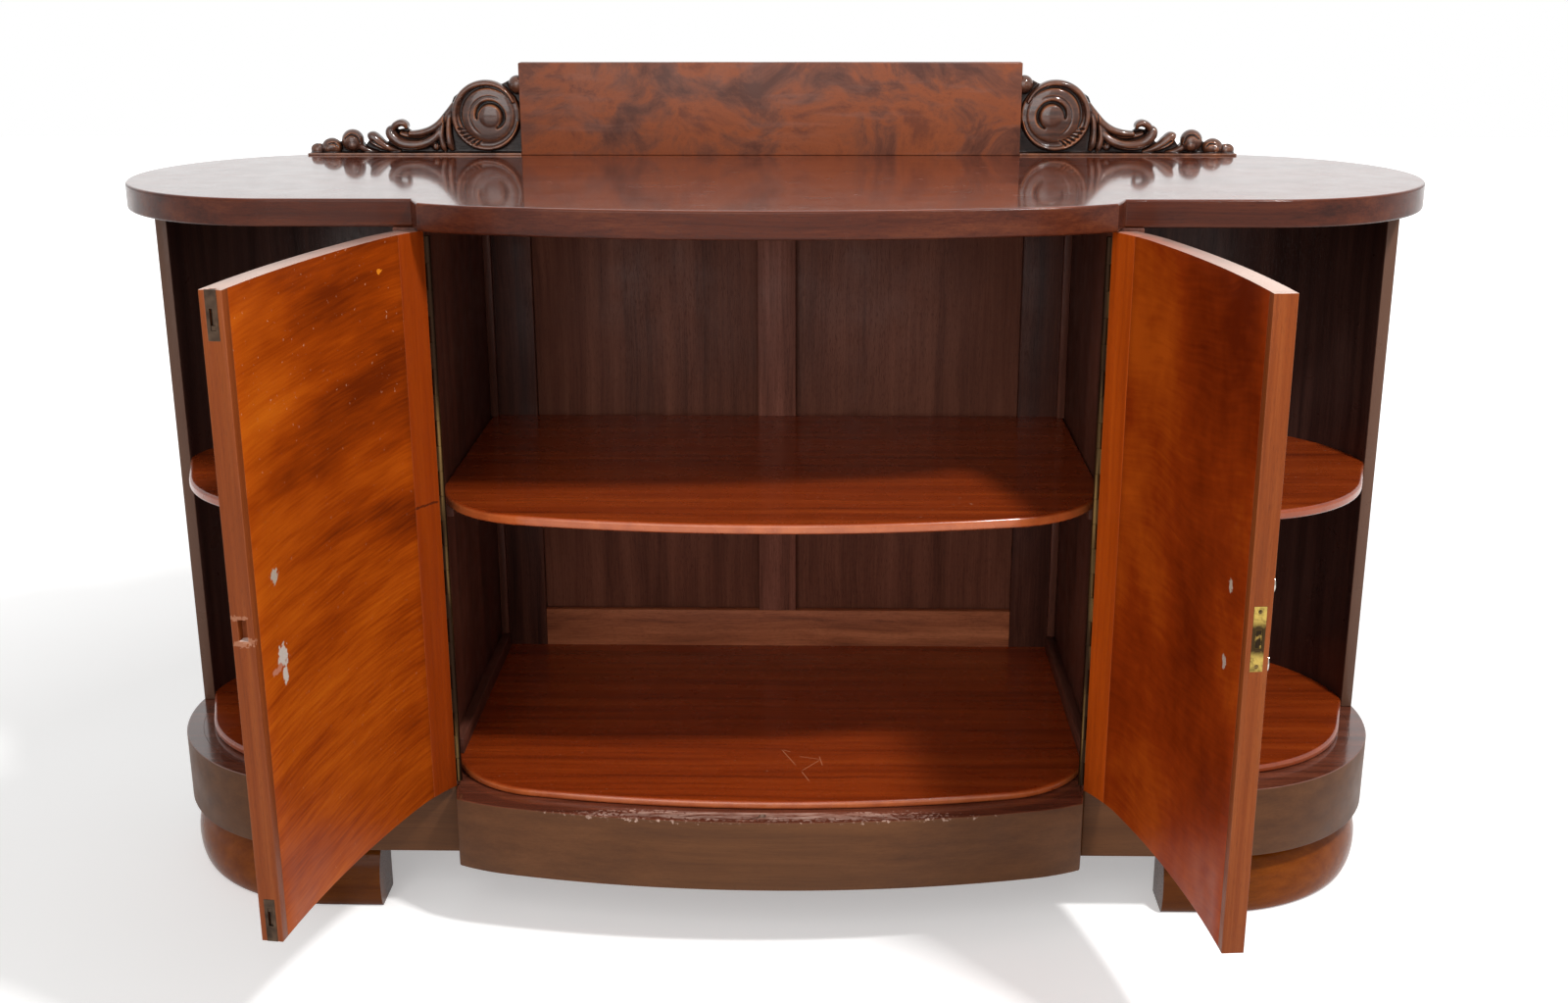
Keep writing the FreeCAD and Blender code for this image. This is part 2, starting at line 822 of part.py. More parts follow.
# Framed back, with its thin panels planted behind the frame
frame_depths = (cell.back_frame_setback, back_front)
rail_half = inside_half - cell.back_stile_sight
rail_width = (-rail_half, rail_half)
bottom_rail_top = ledge_level + cell.bottom_rail_height
top_rail_bottom = top_underside - cell.top_rail_height
battens = []
for side in (-1, 1):
    name = side_names[side]
    stile_width = spanned(side, rail_half, partition_outer)
    keep(block(f"{name}_stile", stile_width, frame_depths, carcass_height), f"back_stile_{name}")
    batten_width = spanned(side, inside_half - cell.batten_size, inside_half)
    batten_depths = (back_front, back_front + cell.batten_size)
    lower = block(f"{name}_lower_batten", batten_width, batten_depths, (floor_level, shelf_range[0]))
    upper = block(f"{name}_upper_batten", batten_width, batten_depths, (shelf_range[1], top_underside))
    battens.extend([lower, upper])
    panel_width = spanned(side, ZERO, rail_half + cell.back_panel_lap)
    panel_depths = (cell.back_frame_setback - cell.back_panel_thickness, cell.back_frame_setback)
    panel_heights = (bottom_rail_top - cell.back_panel_lap, top_rail_bottom + cell.back_panel_lap)
    keep(block(f"{name}_panel", panel_width, panel_depths, panel_heights), f"back_panel_{name}")
keep(block("lower_rail", rail_width, frame_depths, (ledge_level, bottom_rail_top)), "back_bottom_rail")
keep(block("upper_rail", rail_width, frame_depths, (top_rail_bottom, top_underside)), "back_top_rail")
muntin_range = (-cell.muntin_width / 2, cell.muntin_width / 2)
keep(block("centre_muntin", muntin_range, frame_depths, (bottom_rail_top, top_rail_bottom)), "back_muntin")
keep(group("batten_set", battens), "corner_battens")

# Plinth: two side pieces, a bowed front, a back rail and the deck inside them
plinth_range = (plinth_bottom, ledge_level)
plinth_half = cell.top_width / 2 - cell.plinth_end_inset
plinth_front = cell.lobe_depth + cell.plinth_overhang
plinth_turn_x = plinth_half - (plinth_front - lobe_middle)
plinth_inner_half = plinth_half - cell.plinth_thickness
plinth_inner_front = plinth_front - cell.plinth_thickness
plinth_offset = cell.door_thickness + cell.plinth_reveal
plinth_inner_offset = plinth_offset - cell.plinth_bow_thickness
plinth_bow_half = hinge_half - cell.plinth_bow_lap
plinth_corner_half = hinge_half + cell.plinth_corner_lap


def plinth_side_outline():
    """Wall that runs along the front and wraps the right end to the back."""
    outer_front = plinth_front - lobe_middle
    outer_rear = lobe_middle
    inner_front = plinth_inner_front - lobe_middle
    inner_rear = lobe_middle - cell.plinth_thickness
    start = (plinth_corner_half, fore(plinth_front))
    steps = [
        line_to(plinth_turn_x, fore(plinth_front)),
        arc_to(plinth_half, fore(lobe_middle), outer_front, 1),
        arc_to(plinth_half - outer_rear, fore(ZERO), outer_rear, 1),
        line_to(plinth_inner_half - inner_rear, fore(cell.plinth_thickness)),
        arc_to(plinth_inner_half, fore(lobe_middle), inner_rear, -1),
        arc_to(plinth_inner_half - inner_front, fore(plinth_inner_front), inner_front, -1),
        line_to(plinth_corner_half, fore(plinth_inner_front)),
        line_to(plinth_corner_half, fore(plinth_front)),
    ]
    return start, steps


def plinth_bow_outline():
    """Bowed wall between the two side pieces."""
    half = plinth_bow_half
    corner = plinth_corner_half
    outer_depth = bow_end_depth(plinth_offset, half)
    inner_join_x, inner_join_depth = bow_join(plinth_inner_offset)
    inner_main = cell.bow_radius + plinth_inner_offset
    inner_tight = cell.bow_end_radius + plinth_inner_offset
    inner_depth = bow_end_depth(plinth_inner_offset, half)
    start = (corner, fore(plinth_inner_front))
    steps = [
        line_to(corner, fore(plinth_front)),
        line_to(half, fore(outer_depth)),
        *bow_steps(plinth_offset, half),
        line_to(-corner, fore(plinth_front)),
        line_to(-corner, fore(plinth_inner_front)),
        line_to(-half, fore(inner_depth)),
        arc_to(-inner_join_x, fore(inner_join_depth), inner_tight, 1),
        arc_to(inner_join_x, fore(inner_join_depth), inner_main, 1),
        arc_to(half, fore(inner_depth), inner_tight, 1),
        line_to(corner, fore(plinth_inner_front)),
    ]
    return start, steps


for side in (-1, 1):
    name = side_names[side]
    keep(slab(f"{name}_plinth", sided(plinth_side_outline(), side), plinth_range), f"plinth_{name}")
plinth_blank = slab("plinth_bow_blank", plinth_bow_outline(), plinth_range)
ledge_socket_range = (ledge_level - socket_depth, ledge_level + socket_depth)
ledge_socket = rod("ledge_socket", bolt_x, door_middle_depth, ledge_socket_range, socket_radius)
keep(cut("plinth_bow_cut", plinth_blank, [ledge_socket]), "plinth_bow")
back_rail_half = plinth_inner_half - (lobe_middle - cell.plinth_thickness)
back_rail_width = (-back_rail_half, back_rail_half)
back_rail = block("plinth_rail", back_rail_width, (ZERO, cell.plinth_thickness), plinth_range)
keep(back_rail, "plinth_back_rail")
deck_outline = lobed_plan(
    plinth_inner_half - cell.fit_gap,
    cell.plinth_thickness + cell.fit_gap,
    plinth_inner_front - cell.fit_gap,
    plinth_inner_offset - cell.fit_gap,
    plinth_bow_half - cell.fit_gap,
    plinth_corner_half - cell.fit_gap,
)
keep(slab("deck_board", deck_outline, (ledge_level - cell.deck_thickness, ledge_level)), "plinth_deck")

# Feet
foot_half = plinth_half - cell.foot_end_inset
foot_front = plinth_front - cell.foot_inset
foot_back = foot_front - cell.foot_width
foot_outer_radius = foot_front - lobe_middle
foot_turn_x = foot_half - foot_outer_radius
foot_inner_half = foot_turn_x - cell.foot_run


def foot_outline():
    """Front foot on the right: a short straight run and a quarter turn round the end."""
    start = (foot_inner_half, fore(foot_front))
    steps = [
        line_to(foot_turn_x, fore(foot_front)),
        arc_to(foot_half, fore(lobe_middle), foot_outer_radius, 1),
        line_to(foot_half - cell.foot_width, fore(lobe_middle)),
        arc_to(foot_turn_x, fore(foot_back), foot_outer_radius - cell.foot_width, -1),
        line_to(foot_inner_half, fore(foot_back)),
        line_to(foot_inner_half, fore(foot_front)),
    ]
    return start, steps


def on_foot_face(middle):
    """Test for the edges round the foot's outer face."""
    flat = abs(middle.y - fore(foot_front).value) < 1
    radius = math.hypot(abs(middle.x) - foot_turn_x.value, middle.y - fore(lobe_middle).value)
    rounded = radius > foot_outer_radius.value - cell.foot_width.value / 2
    return flat or rounded and abs(middle.x) > foot_turn_x.value


def on_foot_crown(middle):
    """Test for the upper edges of the foot's outer face."""
    return on_foot_face(middle) and middle.z > plinth_bottom.value / 2


def on_foot_toe(middle):
    """Test for the lower edges of the foot's outer face."""
    return on_foot_face(middle) and middle.z < plinth_bottom.value / 2


# Each foot is held by a block in the corner between the plinth wall and the deck
block_range = (plinth_bottom, ledge_level - cell.deck_thickness)
foot_blocks = []
for side in (-1, 1):
    name = side_names[side]
    foot = slab(f"{name}_foot", sided(foot_outline(), side), (ZERO, plinth_bottom))
    soften(foot, cell.foot_crown_radius, on_foot_crown)
    soften(foot, cell.foot_toe_radius, on_foot_toe)
    keep(foot, f"front_foot_{name}")
    front_width = spanned(side, foot_inner_half, plinth_turn_x)
    front_depths = (foot_back, plinth_inner_front)
    foot_blocks.append(block(f"{name}_front_block", front_width, front_depths, block_range))
    rear_width = spanned(side, back_rail_half - cell.rear_foot_length, back_rail_half)
    rear_front = cell.foot_inset + cell.foot_width
    rear_foot = block(f"{name}_rear_foot", rear_width, (cell.foot_inset, rear_front), (ZERO, plinth_bottom))
    keep(rear_foot, f"rear_foot_{name}")
    rear_block = block(f"{name}_rear_block", rear_width, (cell.plinth_thickness, rear_front), block_range)
    foot_blocks.append(rear_block)
keep(group("foot_block_set", foot_blocks), "foot_blocks")

# Doors, drawn closed and turned open about their hinges
stile_half = hinge_edge_half - cell.stile_width
lipping_half = cell.door_meeting_half + cell.lipping_thickness
outer_offset = cell.door_thickness
door_range = (door_bottom, door_top)


def stile_outline():
    """Hinge stile of the right door."""
    outer_radius = cell.bow_end_radius + outer_offset
    start = (hinge_edge_half, fore(bow_end_depth(ZERO, hinge_edge_half)))
    steps = [
        arc_to(stile_half, fore(bow_end_depth(ZERO, stile_half)), cell.bow_end_radius, -1),
        line_to(stile_half, fore(bow_end_depth(outer_offset, stile_half))),
        arc_to(hinge_edge_half, fore(bow_end_depth(outer_offset, hinge_edge_half)), outer_radius, 1),
        line_to(hinge_edge_half, fore(bow_end_depth(ZERO, hinge_edge_half))),
    ]
    return start, steps


def panel_outline():
    """Bent panel of the right door."""
    inner_x, inner_depth = bow_join(ZERO)
    outer_x, outer_depth = bow_join(outer_offset)
    outer_main = cell.bow_radius + outer_offset
    outer_tight = cell.bow_end_radius + outer_offset
    start = (stile_half, fore(bow_end_depth(ZERO, stile_half)))
    steps = [
        arc_to(inner_x, fore(inner_depth), cell.bow_end_radius, -1),
        arc_to(lipping_half, fore(bow_main_depth(ZERO, lipping_half)), cell.bow_radius, -1),
        line_to(lipping_half, fore(bow_main_depth(outer_offset, lipping_half))),
        arc_to(outer_x, fore(outer_depth), outer_main, 1),
        arc_to(stile_half, fore(bow_end_depth(outer_offset, stile_half)), outer_tight, 1),
        line_to(stile_half, fore(bow_end_depth(ZERO, stile_half))),
    ]
    return start, steps


def lipping_outline():
    """Lipping on the free edge of the right door."""
    near = cell.door_meeting_half
    outer_main = cell.bow_radius + outer_offset
    start = (lipping_half, fore(bow_main_depth(ZERO, lipping_half)))
    steps = [
        arc_to(near, fore(bow_main_depth(ZERO, near)), cell.bow_radius, -1),
        line_to(near, fore(bow_main_depth(outer_offset, near))),
        arc_to(lipping_half, fore(bow_main_depth(outer_offset, lipping_half)), outer_main, 1),
        line_to(lipping_half, fore(bow_main_depth(ZERO, lipping_half))),
    ]
    return start, steps


leaf_outer_half = hinge_edge_half + cell.leaf_thickness
leaf_near_depth = hinge_depth + cell.barrel_radius + cell.hinge_clearance
leaf_far_depth = leaf_near_depth + cell.leaf_width
door_screw_depth = leaf_near_depth + cell.leaf_width / 2


def about(middle, spread):
    """Range of a width centred on a position."""
    return middle - spread / 2, middle + spread / 2


# Lock in the right door: places measured from the door's free edge
edge = cell.door_meeting_half
plate_back = edge + cell.lock_plate_thickness
case_back = plate_back + cell.lock_case_depth
lock_pocket = block(
    "lock_pocket",
    (plate_back, case_back),
    about(door_middle_depth, cell.lock_case_width),
    about(cell.lock_level, cell.lock_case_height),
    right_swing,
)
plate_recess = block(
    "plate_recess",
    (edge, plate_back),
    about(door_middle_depth, cell.lock_plate_width),
    about(cell.lock_level, cell.lock_plate_height),
    right_swing,
)
lock_screw_levels = (
    cell.lock_level - cell.lock_plate_height / 2 + cell.lock_screw_inset,
    cell.lock_level + cell.lock_plate_height / 2 - cell.lock_screw_inset,
)
bolt_room = cell.lock_bolt_play * 2
case_room = block(
    "lock_case_room",
    (plate_back, case_back - cell.lock_case_wall),
    about(door_middle_depth, cell.lock_bolt_width + bolt_room),
    about(cell.lock_level, cell.lock_case_height - cell.lock_case_wall * 2),
    right_swing,
)
plate_mouth = block(
    "lock_plate_mouth",
    (edge - cell.lock_plate_thickness, plate_back + cell.lock_plate_thickness),
    about(door_middle_depth, cell.lock_bolt_width + bolt_room),
    about(cell.lock_level, cell.lock_bolt_height + bolt_room),
    right_swing,
)
case_blank = block(
    "lock_case_blank",
    (plate_back, case_back),
    about(door_middle_depth, cell.lock_case_width),
    about(cell.lock_level, cell.lock_case_height),
    right_swing,
)
plate_blank = block(
    "lock_plate_blank",
    (edge, plate_back),
    about(door_middle_depth, cell.lock_plate_width),
    about(cell.lock_level, cell.lock_plate_height),
    right_swing,
)
lock_bolt = block(
    "lock_bolt_bar",
    (edge + cell.lock_bolt_play, edge + cell.lock_bolt_play + cell.lock_bolt_length),
    about(door_middle_depth, cell.lock_bolt_width),
    about(cell.lock_level, cell.lock_bolt_height),
    right_swing,
)
lock_screws = []
lock_screw_holes = []
lock_pilots = []
lock_hole_radius = cell.lock_screw_radius + cell.screw_play
plate_thickness = cell.lock_plate_thickness
for row, level in enumerate(lock_screw_levels):
    place = (edge, door_middle_depth, level)
    head = side_rod(f"lock_head_{row}", -1, place, plate_thickness, cell.lock_screw_radius, right_swing)
    shank = side_rod(f"lock_shank_{row}", -1, place, shank_length, cell.screw_shank_radius, right_swing)
    lock_screws.append(fuse(f"lock_screw_{row}", [head, shank]))
    hole = side_rod(f"lock_hole_{row}", -1, place, plate_thickness, lock_hole_radius, right_swing)
    lock_screw_holes.append(hole)
    pilot = side_rod(f"lock_pilot_{row}", -1, place, cell.screw_length, pilot_radius, right_swing)
    lock_pilots.append(pilot)
keep(cut("lock_case_shell", case_blank, [case_room]), "lock_case")
keep(cut("lock_plate_cut", plate_blank, [plate_mouth, *lock_screw_holes]), "lock_face_plate")
keep(lock_bolt, "lock_bolt")

# Flush bolts in the left door's free edge, and the mouth that takes the lock's bolt
edge_plate_back = edge + cell.bolt_plate_thickness
channel_back = edge_plate_back + (cell.bolt_radius + cell.bolt_play) * 2
channel_width = (cell.bolt_radius + cell.bolt_play) * 2
strike_depth = cell.lock_throw + cell.bolt_socket_play
strike_mouth = block(
    "strike_mouth",
    (-(edge + strike_depth), -edge),
    about(door_middle_depth, cell.lock_bolt_width + cell.bolt_socket_play * 2),
    about(cell.lock_level, cell.lock_bolt_height + cell.bolt_socket_play * 2),
    left_swing,
)
bolt_plates = []
left_lipping_cuts = [strike_mouth]
for name, up in (("top", 1), ("bottom", -1)):
    door_end = door_top if up > 0 else door_bottom
    plate_far = door_end - cell.bolt_plate_height * up
    plate_range = (plate_far, door_end) if up > 0 else (door_end, plate_far)
    bolt_near = door_end - cell.bolt_play * up
    bolt_far = bolt_near - cell.bolt_length * up
    bolt_range = (bolt_far, bolt_near) if up > 0 else (bolt_near, bolt_far)
    stud_level = bolt_far + cell.bolt_slot_width * up
    slot_middle = stud_level + (cell.bolt_slot_height / 2 - cell.bolt_slot_width / 2 - cell.bolt_play) * up
    plate_width = about(door_middle_depth, cell.bolt_plate_width)
    recess = block(f"{name}_plate_recess", (-edge_plate_back, -edge), plate_width, plate_range, left_swing)
    channel = block(
        f"{name}_bolt_channel",
        (-channel_back, -edge_plate_back),
        about(door_middle_depth, channel_width),
        plate_range,
        left_swing,
    )
    left_lipping_cuts.extend([recess, channel])
    blank = block(f"{name}_plate_blank", (-edge_plate_back, -edge), plate_width, plate_range, left_swing)
    slot = block(
        f"{name}_plate_slot",
        (-edge_plate_back - cell.bolt_plate_thickness, -edge + cell.bolt_plate_thickness),
        about(door_middle_depth, cell.bolt_slot_width + cell.bolt_play * 2),
        about(slot_middle, cell.bolt_slot_height),
        left_swing,
    )
    bolt_plates.append(cut(f"{name}_bolt_plate", blank, [slot]))
    shaft = rod(f"{name}_bolt_shaft", bolt_x, door_middle_depth, bolt_range, cell.bolt_radius, left_swing)
    stud = block(
        f"{name}_bolt_stud",
        (bolt_x, -edge - cell.bolt_play),
        about(door_middle_depth, cell.bolt_slot_width),
        about(stud_level, cell.bolt_slot_width),
        left_swing,
    )
    keep(fuse(f"{name}_bolt", [shaft, stud]), f"flush_bolt_{name}")
keep(group("bolt_plate_pair", bolt_plates), "flush_bolt_plates")


def pull(side, swing):
    """Low upright bar between two round bosses, outside the door near its free edge."""
    name = side_names[side]
    x = cell.pull_edge_distance * side
    face = bow_main_depth(outer_offset, cell.pull_edge_distance - cell.pull_boss_radius)
    boss_front = face + cell.pull_boss_height
    bar_depth = face + cell.pull_bar_gap + cell.pull_bar_radius
    levels = about(cell.pull_level, cell.pull_centres)
    pieces = [rod(f"{name}_pull_bar", x, bar_depth, levels, cell.pull_bar_radius, swing)]
    for row, level in enumerate(levels):
        boss_name = f"{name}_pull_boss_{row}"
        place = (x, boss_front, level)
        pieces.append(level_rod(boss_name, place, cell.pull_boss_height, cell.pull_boss_radius, swing))
    keep(fuse(f"{name}_pull", pieces), f"{name}_pull")


# Hinges: alternate knuckles on the two leaves, round one pin
def knuckle_levels(first):
    """Bottom and top of every second knuckle, counted from the hinge's lower end."""
    count = int(hinge_length.value // cell.knuckle_pitch.value)
    pitch = hinge_length.value / count
    half_gap = cell.knuckle_gap.value / 2
    levels = []
    for index in range(first, count, 2):
        bottom = hinge_bottom.value + pitch * index
        levels.append((bottom + half_gap, bottom + pitch - half_gap))
    return levels


def box_shape(x_range, y_range, z_range):
    """Plain block shape from numbers."""
    low = FreeCAD.Vector(x_range[0], y_range[0], z_range[0])
    return Part.makeBox(
        x_range[1] - x_range[0], y_range[1] - y_range[0], z_range[1] - z_range[0], low
    )


def hinge_leaf(x, y, plate, tab, first):
    """One leaf: a long plate with a tab and a rolled knuckle at each of its levels."""
    outer = cell.barrel_radius.value
    bore = cell.hinge_pin_radius.value + cell.pin_clearance.value
    shape = box_shape(*plate, (hinge_bottom.value, hinge_top.value))
    up = FreeCAD.Vector(0, 0, 1)
    for bottom, top in knuckle_levels(first):
        centre = FreeCAD.Vector(x, y, bottom)
        knuckle = Part.makeCylinder(outer, top - bottom, centre, up)
        knuckle = knuckle.fuse(box_shape(*tab, (bottom, top)))
        hole = Part.makeCylinder(bore, top - bottom, centre, up)
        shape = shape.fuse(knuckle.cut(hole))
    return shape.removeSplitter()


def hinge(side, swing):
    """Leaf on the post, leaf on the door and the pin between them."""
    name = side_names[side]
    x = hinge_half.value * side
    y = fore(hinge_depth).value
    clear = cell.barrel_radius.value + cell.hinge_clearance.value
    post_y = fore(post_front).value
    thick = cell.leaf_thickness.value
    frame_far = x + (clear + cell.leaf_width.value) * side
    frame_plate = (sorted((x + clear * side, frame_far)), (post_y - thick, post_y))
    frame_tab = (sorted((x, x + clear * side)), (post_y - thick, post_y))
    frame_shape = hinge_leaf(x, y, frame_plate, frame_tab, 0)
    holes = [
        Part.makeCylinder(
            cell.screw_head_radius.value + cell.screw_play.value,
            thick,
            FreeCAD.Vector(screw_centre_half.value * side, post_y - thick, level.value),
            FreeCAD.Vector(0, 1, 0),
        )
        for level in screw_levels
    ]
    frame_leaf = doc.addObject("Part::Feature", f"{name}_frame_leaf")
    frame_leaf.Shape = frame_shape.cut(holes)
    keep(frame_leaf, f"{name}_hinge_frame_leaf")

    edge_x = hinge_edge_half.value * side
    plate_x = sorted((edge_x, edge_x + thick * side))
    near_y = fore(leaf_near_depth).value
    far_y = fore(leaf_far_depth).value
    door_shape = hinge_leaf(x, y, (plate_x, (far_y, near_y)), (plate_x, (near_y, y)), 1)
    holes = [
        Part.makeCylinder(
            cell.screw_head_radius.value + cell.screw_play.value,
            thick,
            FreeCAD.Vector(edge_x + thick * side, fore(door_screw_depth).value, level.value),
            FreeCAD.Vector(-side, 0, 0),
        )
        for level in screw_levels
    ]
    door_leaf = doc.addObject("Part::Feature", f"{name}_door_leaf")
    door_leaf.Shape = door_shape.cut(holes)
    seat(door_leaf, ZERO, ZERO, ZERO, swing)
    keep(door_leaf, f"{name}_hinge_door_leaf")

    pin = rod(
        f"{name}_pin", hinge_half * side, hinge_depth, (hinge_bottom, hinge_top), cell.hinge_pin_radius
    )
    keep(pin, f"{name}_hinge_pin")


for side in (-1, 1):
    name = side_names[side]
    swing = swings[side]
    door_screws = []
    pilots = []
    for row, level in enumerate(screw_levels):
        place = (leaf_outer_half * side, door_screw_depth, level)
        stem = f"{name}_door_screw_{row}"
        head = side_rod(f"{stem}_head", side, place, cell.leaf_thickness, cell.screw_head_radius, swing)
        shank = side_rod(f"{stem}_shank", side, place, shank_length, cell.screw_shank_radius, swing)
        door_screws.append(fuse(stem, [head, shank]))
        pilots.append(side_rod(f"{stem}_pilot", side, place, cell.screw_length, pilot_radius, swing))
    stile_blank = slab(f"{name}_stile_blank", sided(stile_outline(), side), door_range, swing)
    keep(cut(f"{name}_stile_cut", stile_blank, pilots), f"{name}_door_hinge_stile")
    door_panel = slab(f"{name}_door_blank", sided(panel_outline(), side), door_range, swing)
    lipping = slab(f"{name}_lipping_blank", sided(lipping_outline(), side), door_range, swing)
    if side > 0:
        door_panel = cut("right_panel_cut", door_panel, [lock_pocket])
        lipping = cut("right_lipping_cut", lipping, [lock_pocket, plate_recess, *lock_pilots])
        door_screws.extend(lock_screws)
    else:
        lipping = cut("left_lipping_cut", lipping, left_lipping_cuts)
    keep(door_panel, f"{name}_door_panel")
    keep(lipping, f"{name}_door_lipping")
    keep(group(f"{name}_door_screw_set", door_screws), f"{name}_door_screws")
    pull(side, swing)
    hinge(side, swing)

doc.recompute()

faults = []
for item in doc.Objects:
    if "Invalid" in item.State or "Error" in item.State:
        faults.append(f"{item.Label} failed to recompute: {item.State}")
for item in nodes:
    if item.Shape.isNull() or not item.Shape.isValid() or not item.Shape.Solids:
        faults.append(f"{item.Label} has no valid solid")
if faults:
    raise RuntimeError("; ".join(faults))

os.makedirs("parts", exist_ok=True)
for item in nodes:
    item.Shape.exportStep(f"parts/{item.Label}.step")
    print(item.Label, len(item.Shape.Solids), round(item.Shape.Volume))
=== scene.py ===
"""Looks of the chiffonier: woods, metals, soft edges, carved scrolls, studio and camera."""

import functools
import json
import math

import bmesh
import bpy
import numpy
from mathutils import Color, Matrix, Vector


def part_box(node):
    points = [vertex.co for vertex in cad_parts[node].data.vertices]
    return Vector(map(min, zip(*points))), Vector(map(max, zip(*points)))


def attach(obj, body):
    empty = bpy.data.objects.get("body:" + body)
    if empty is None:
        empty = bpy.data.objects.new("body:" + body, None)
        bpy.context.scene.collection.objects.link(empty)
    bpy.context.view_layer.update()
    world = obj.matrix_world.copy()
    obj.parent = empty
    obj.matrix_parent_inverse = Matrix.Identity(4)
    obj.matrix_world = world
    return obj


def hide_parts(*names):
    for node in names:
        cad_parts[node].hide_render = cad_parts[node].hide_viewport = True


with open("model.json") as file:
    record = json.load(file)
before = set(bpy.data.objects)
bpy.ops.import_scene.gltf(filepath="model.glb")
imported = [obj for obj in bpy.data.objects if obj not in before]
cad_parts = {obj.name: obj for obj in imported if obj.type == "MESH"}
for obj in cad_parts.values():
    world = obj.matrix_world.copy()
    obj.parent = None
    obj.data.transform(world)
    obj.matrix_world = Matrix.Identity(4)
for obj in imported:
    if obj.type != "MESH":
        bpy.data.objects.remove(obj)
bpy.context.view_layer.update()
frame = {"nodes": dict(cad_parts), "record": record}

NODES = frame["nodes"]
BODIES = frame["record"]["behaviour"]["bodies"]
BODY_OF = {node: body for body, members in BODIES.items() for node in members}
MM = 0.001
SIDES = {"left": -1, "right": 1}


# Colours

def tint(*channels):
    """A colour written as it shows on screen, from 0 to 255."""
    shown = Color([channel / 255 for channel in channels])
    return (*shown.from_srgb_to_scene_linear(), 1.0)


def metres(*place):
    """A place or size given in millimetres."""
    return tuple(MM * value for value in place)


# Shader building blocks

SHORT_NAMES = {"specular": "Specular IOR Level"}
STROKE_DEPTH = 6 * MM


class Nodes:
    """One node tree, with a short call for each kind of node used here."""

    def __init__(self, tree):
        self.nodes = tree.nodes
        self.links = tree.links

    def add(self, kind, inputs=None, **settings):
        """A new node with some of its inputs and settings."""
        node = self.nodes.new(f"ShaderNode{kind}")
        for key, value in settings.items():
            setattr(node, key, value)
        for key, value in (inputs or {}).items():
            self.feed(node.inputs[key], value)
        return node

    def feed(self, socket, value):
        """Link a socket to another node's output, or set its own value."""
        if isinstance(value, bpy.types.NodeSocket):
            self.links.new(value, socket)
        else:
            socket.default_value = value

    def maths(self, operation, first, second=0.0):
        return self.add("Math", {0: first, 1: second}, operation=operation).outputs[0]

    def joined(self, operation, values):
        """One value from many, taken in turn."""
        return functools.reduce(functools.partial(self.maths, operation), values)

    def product(self, *factors):
        return self.joined("MULTIPLY", factors)

    def total(self, *terms):
        return self.joined("ADD", terms)

    def span(self, value, start, end, low=0.0, high=1.0):
        """Map start..end to low..high, held at both ends."""
        inputs = dict(enumerate((value, start, end, low, high)))
        return self.add("MapRange", inputs).outputs[0]

    def seen(self):
        """1 for rays from the camera, a mirror or glass, and 0 for rays that light things."""
        rays = self.add("LightPath").outputs
        kinds = ("Camera", "Glossy", "Transmission")
        return self.joined("MAXIMUM", [rays[f"Is {kind} Ray"] for kind in kinds])


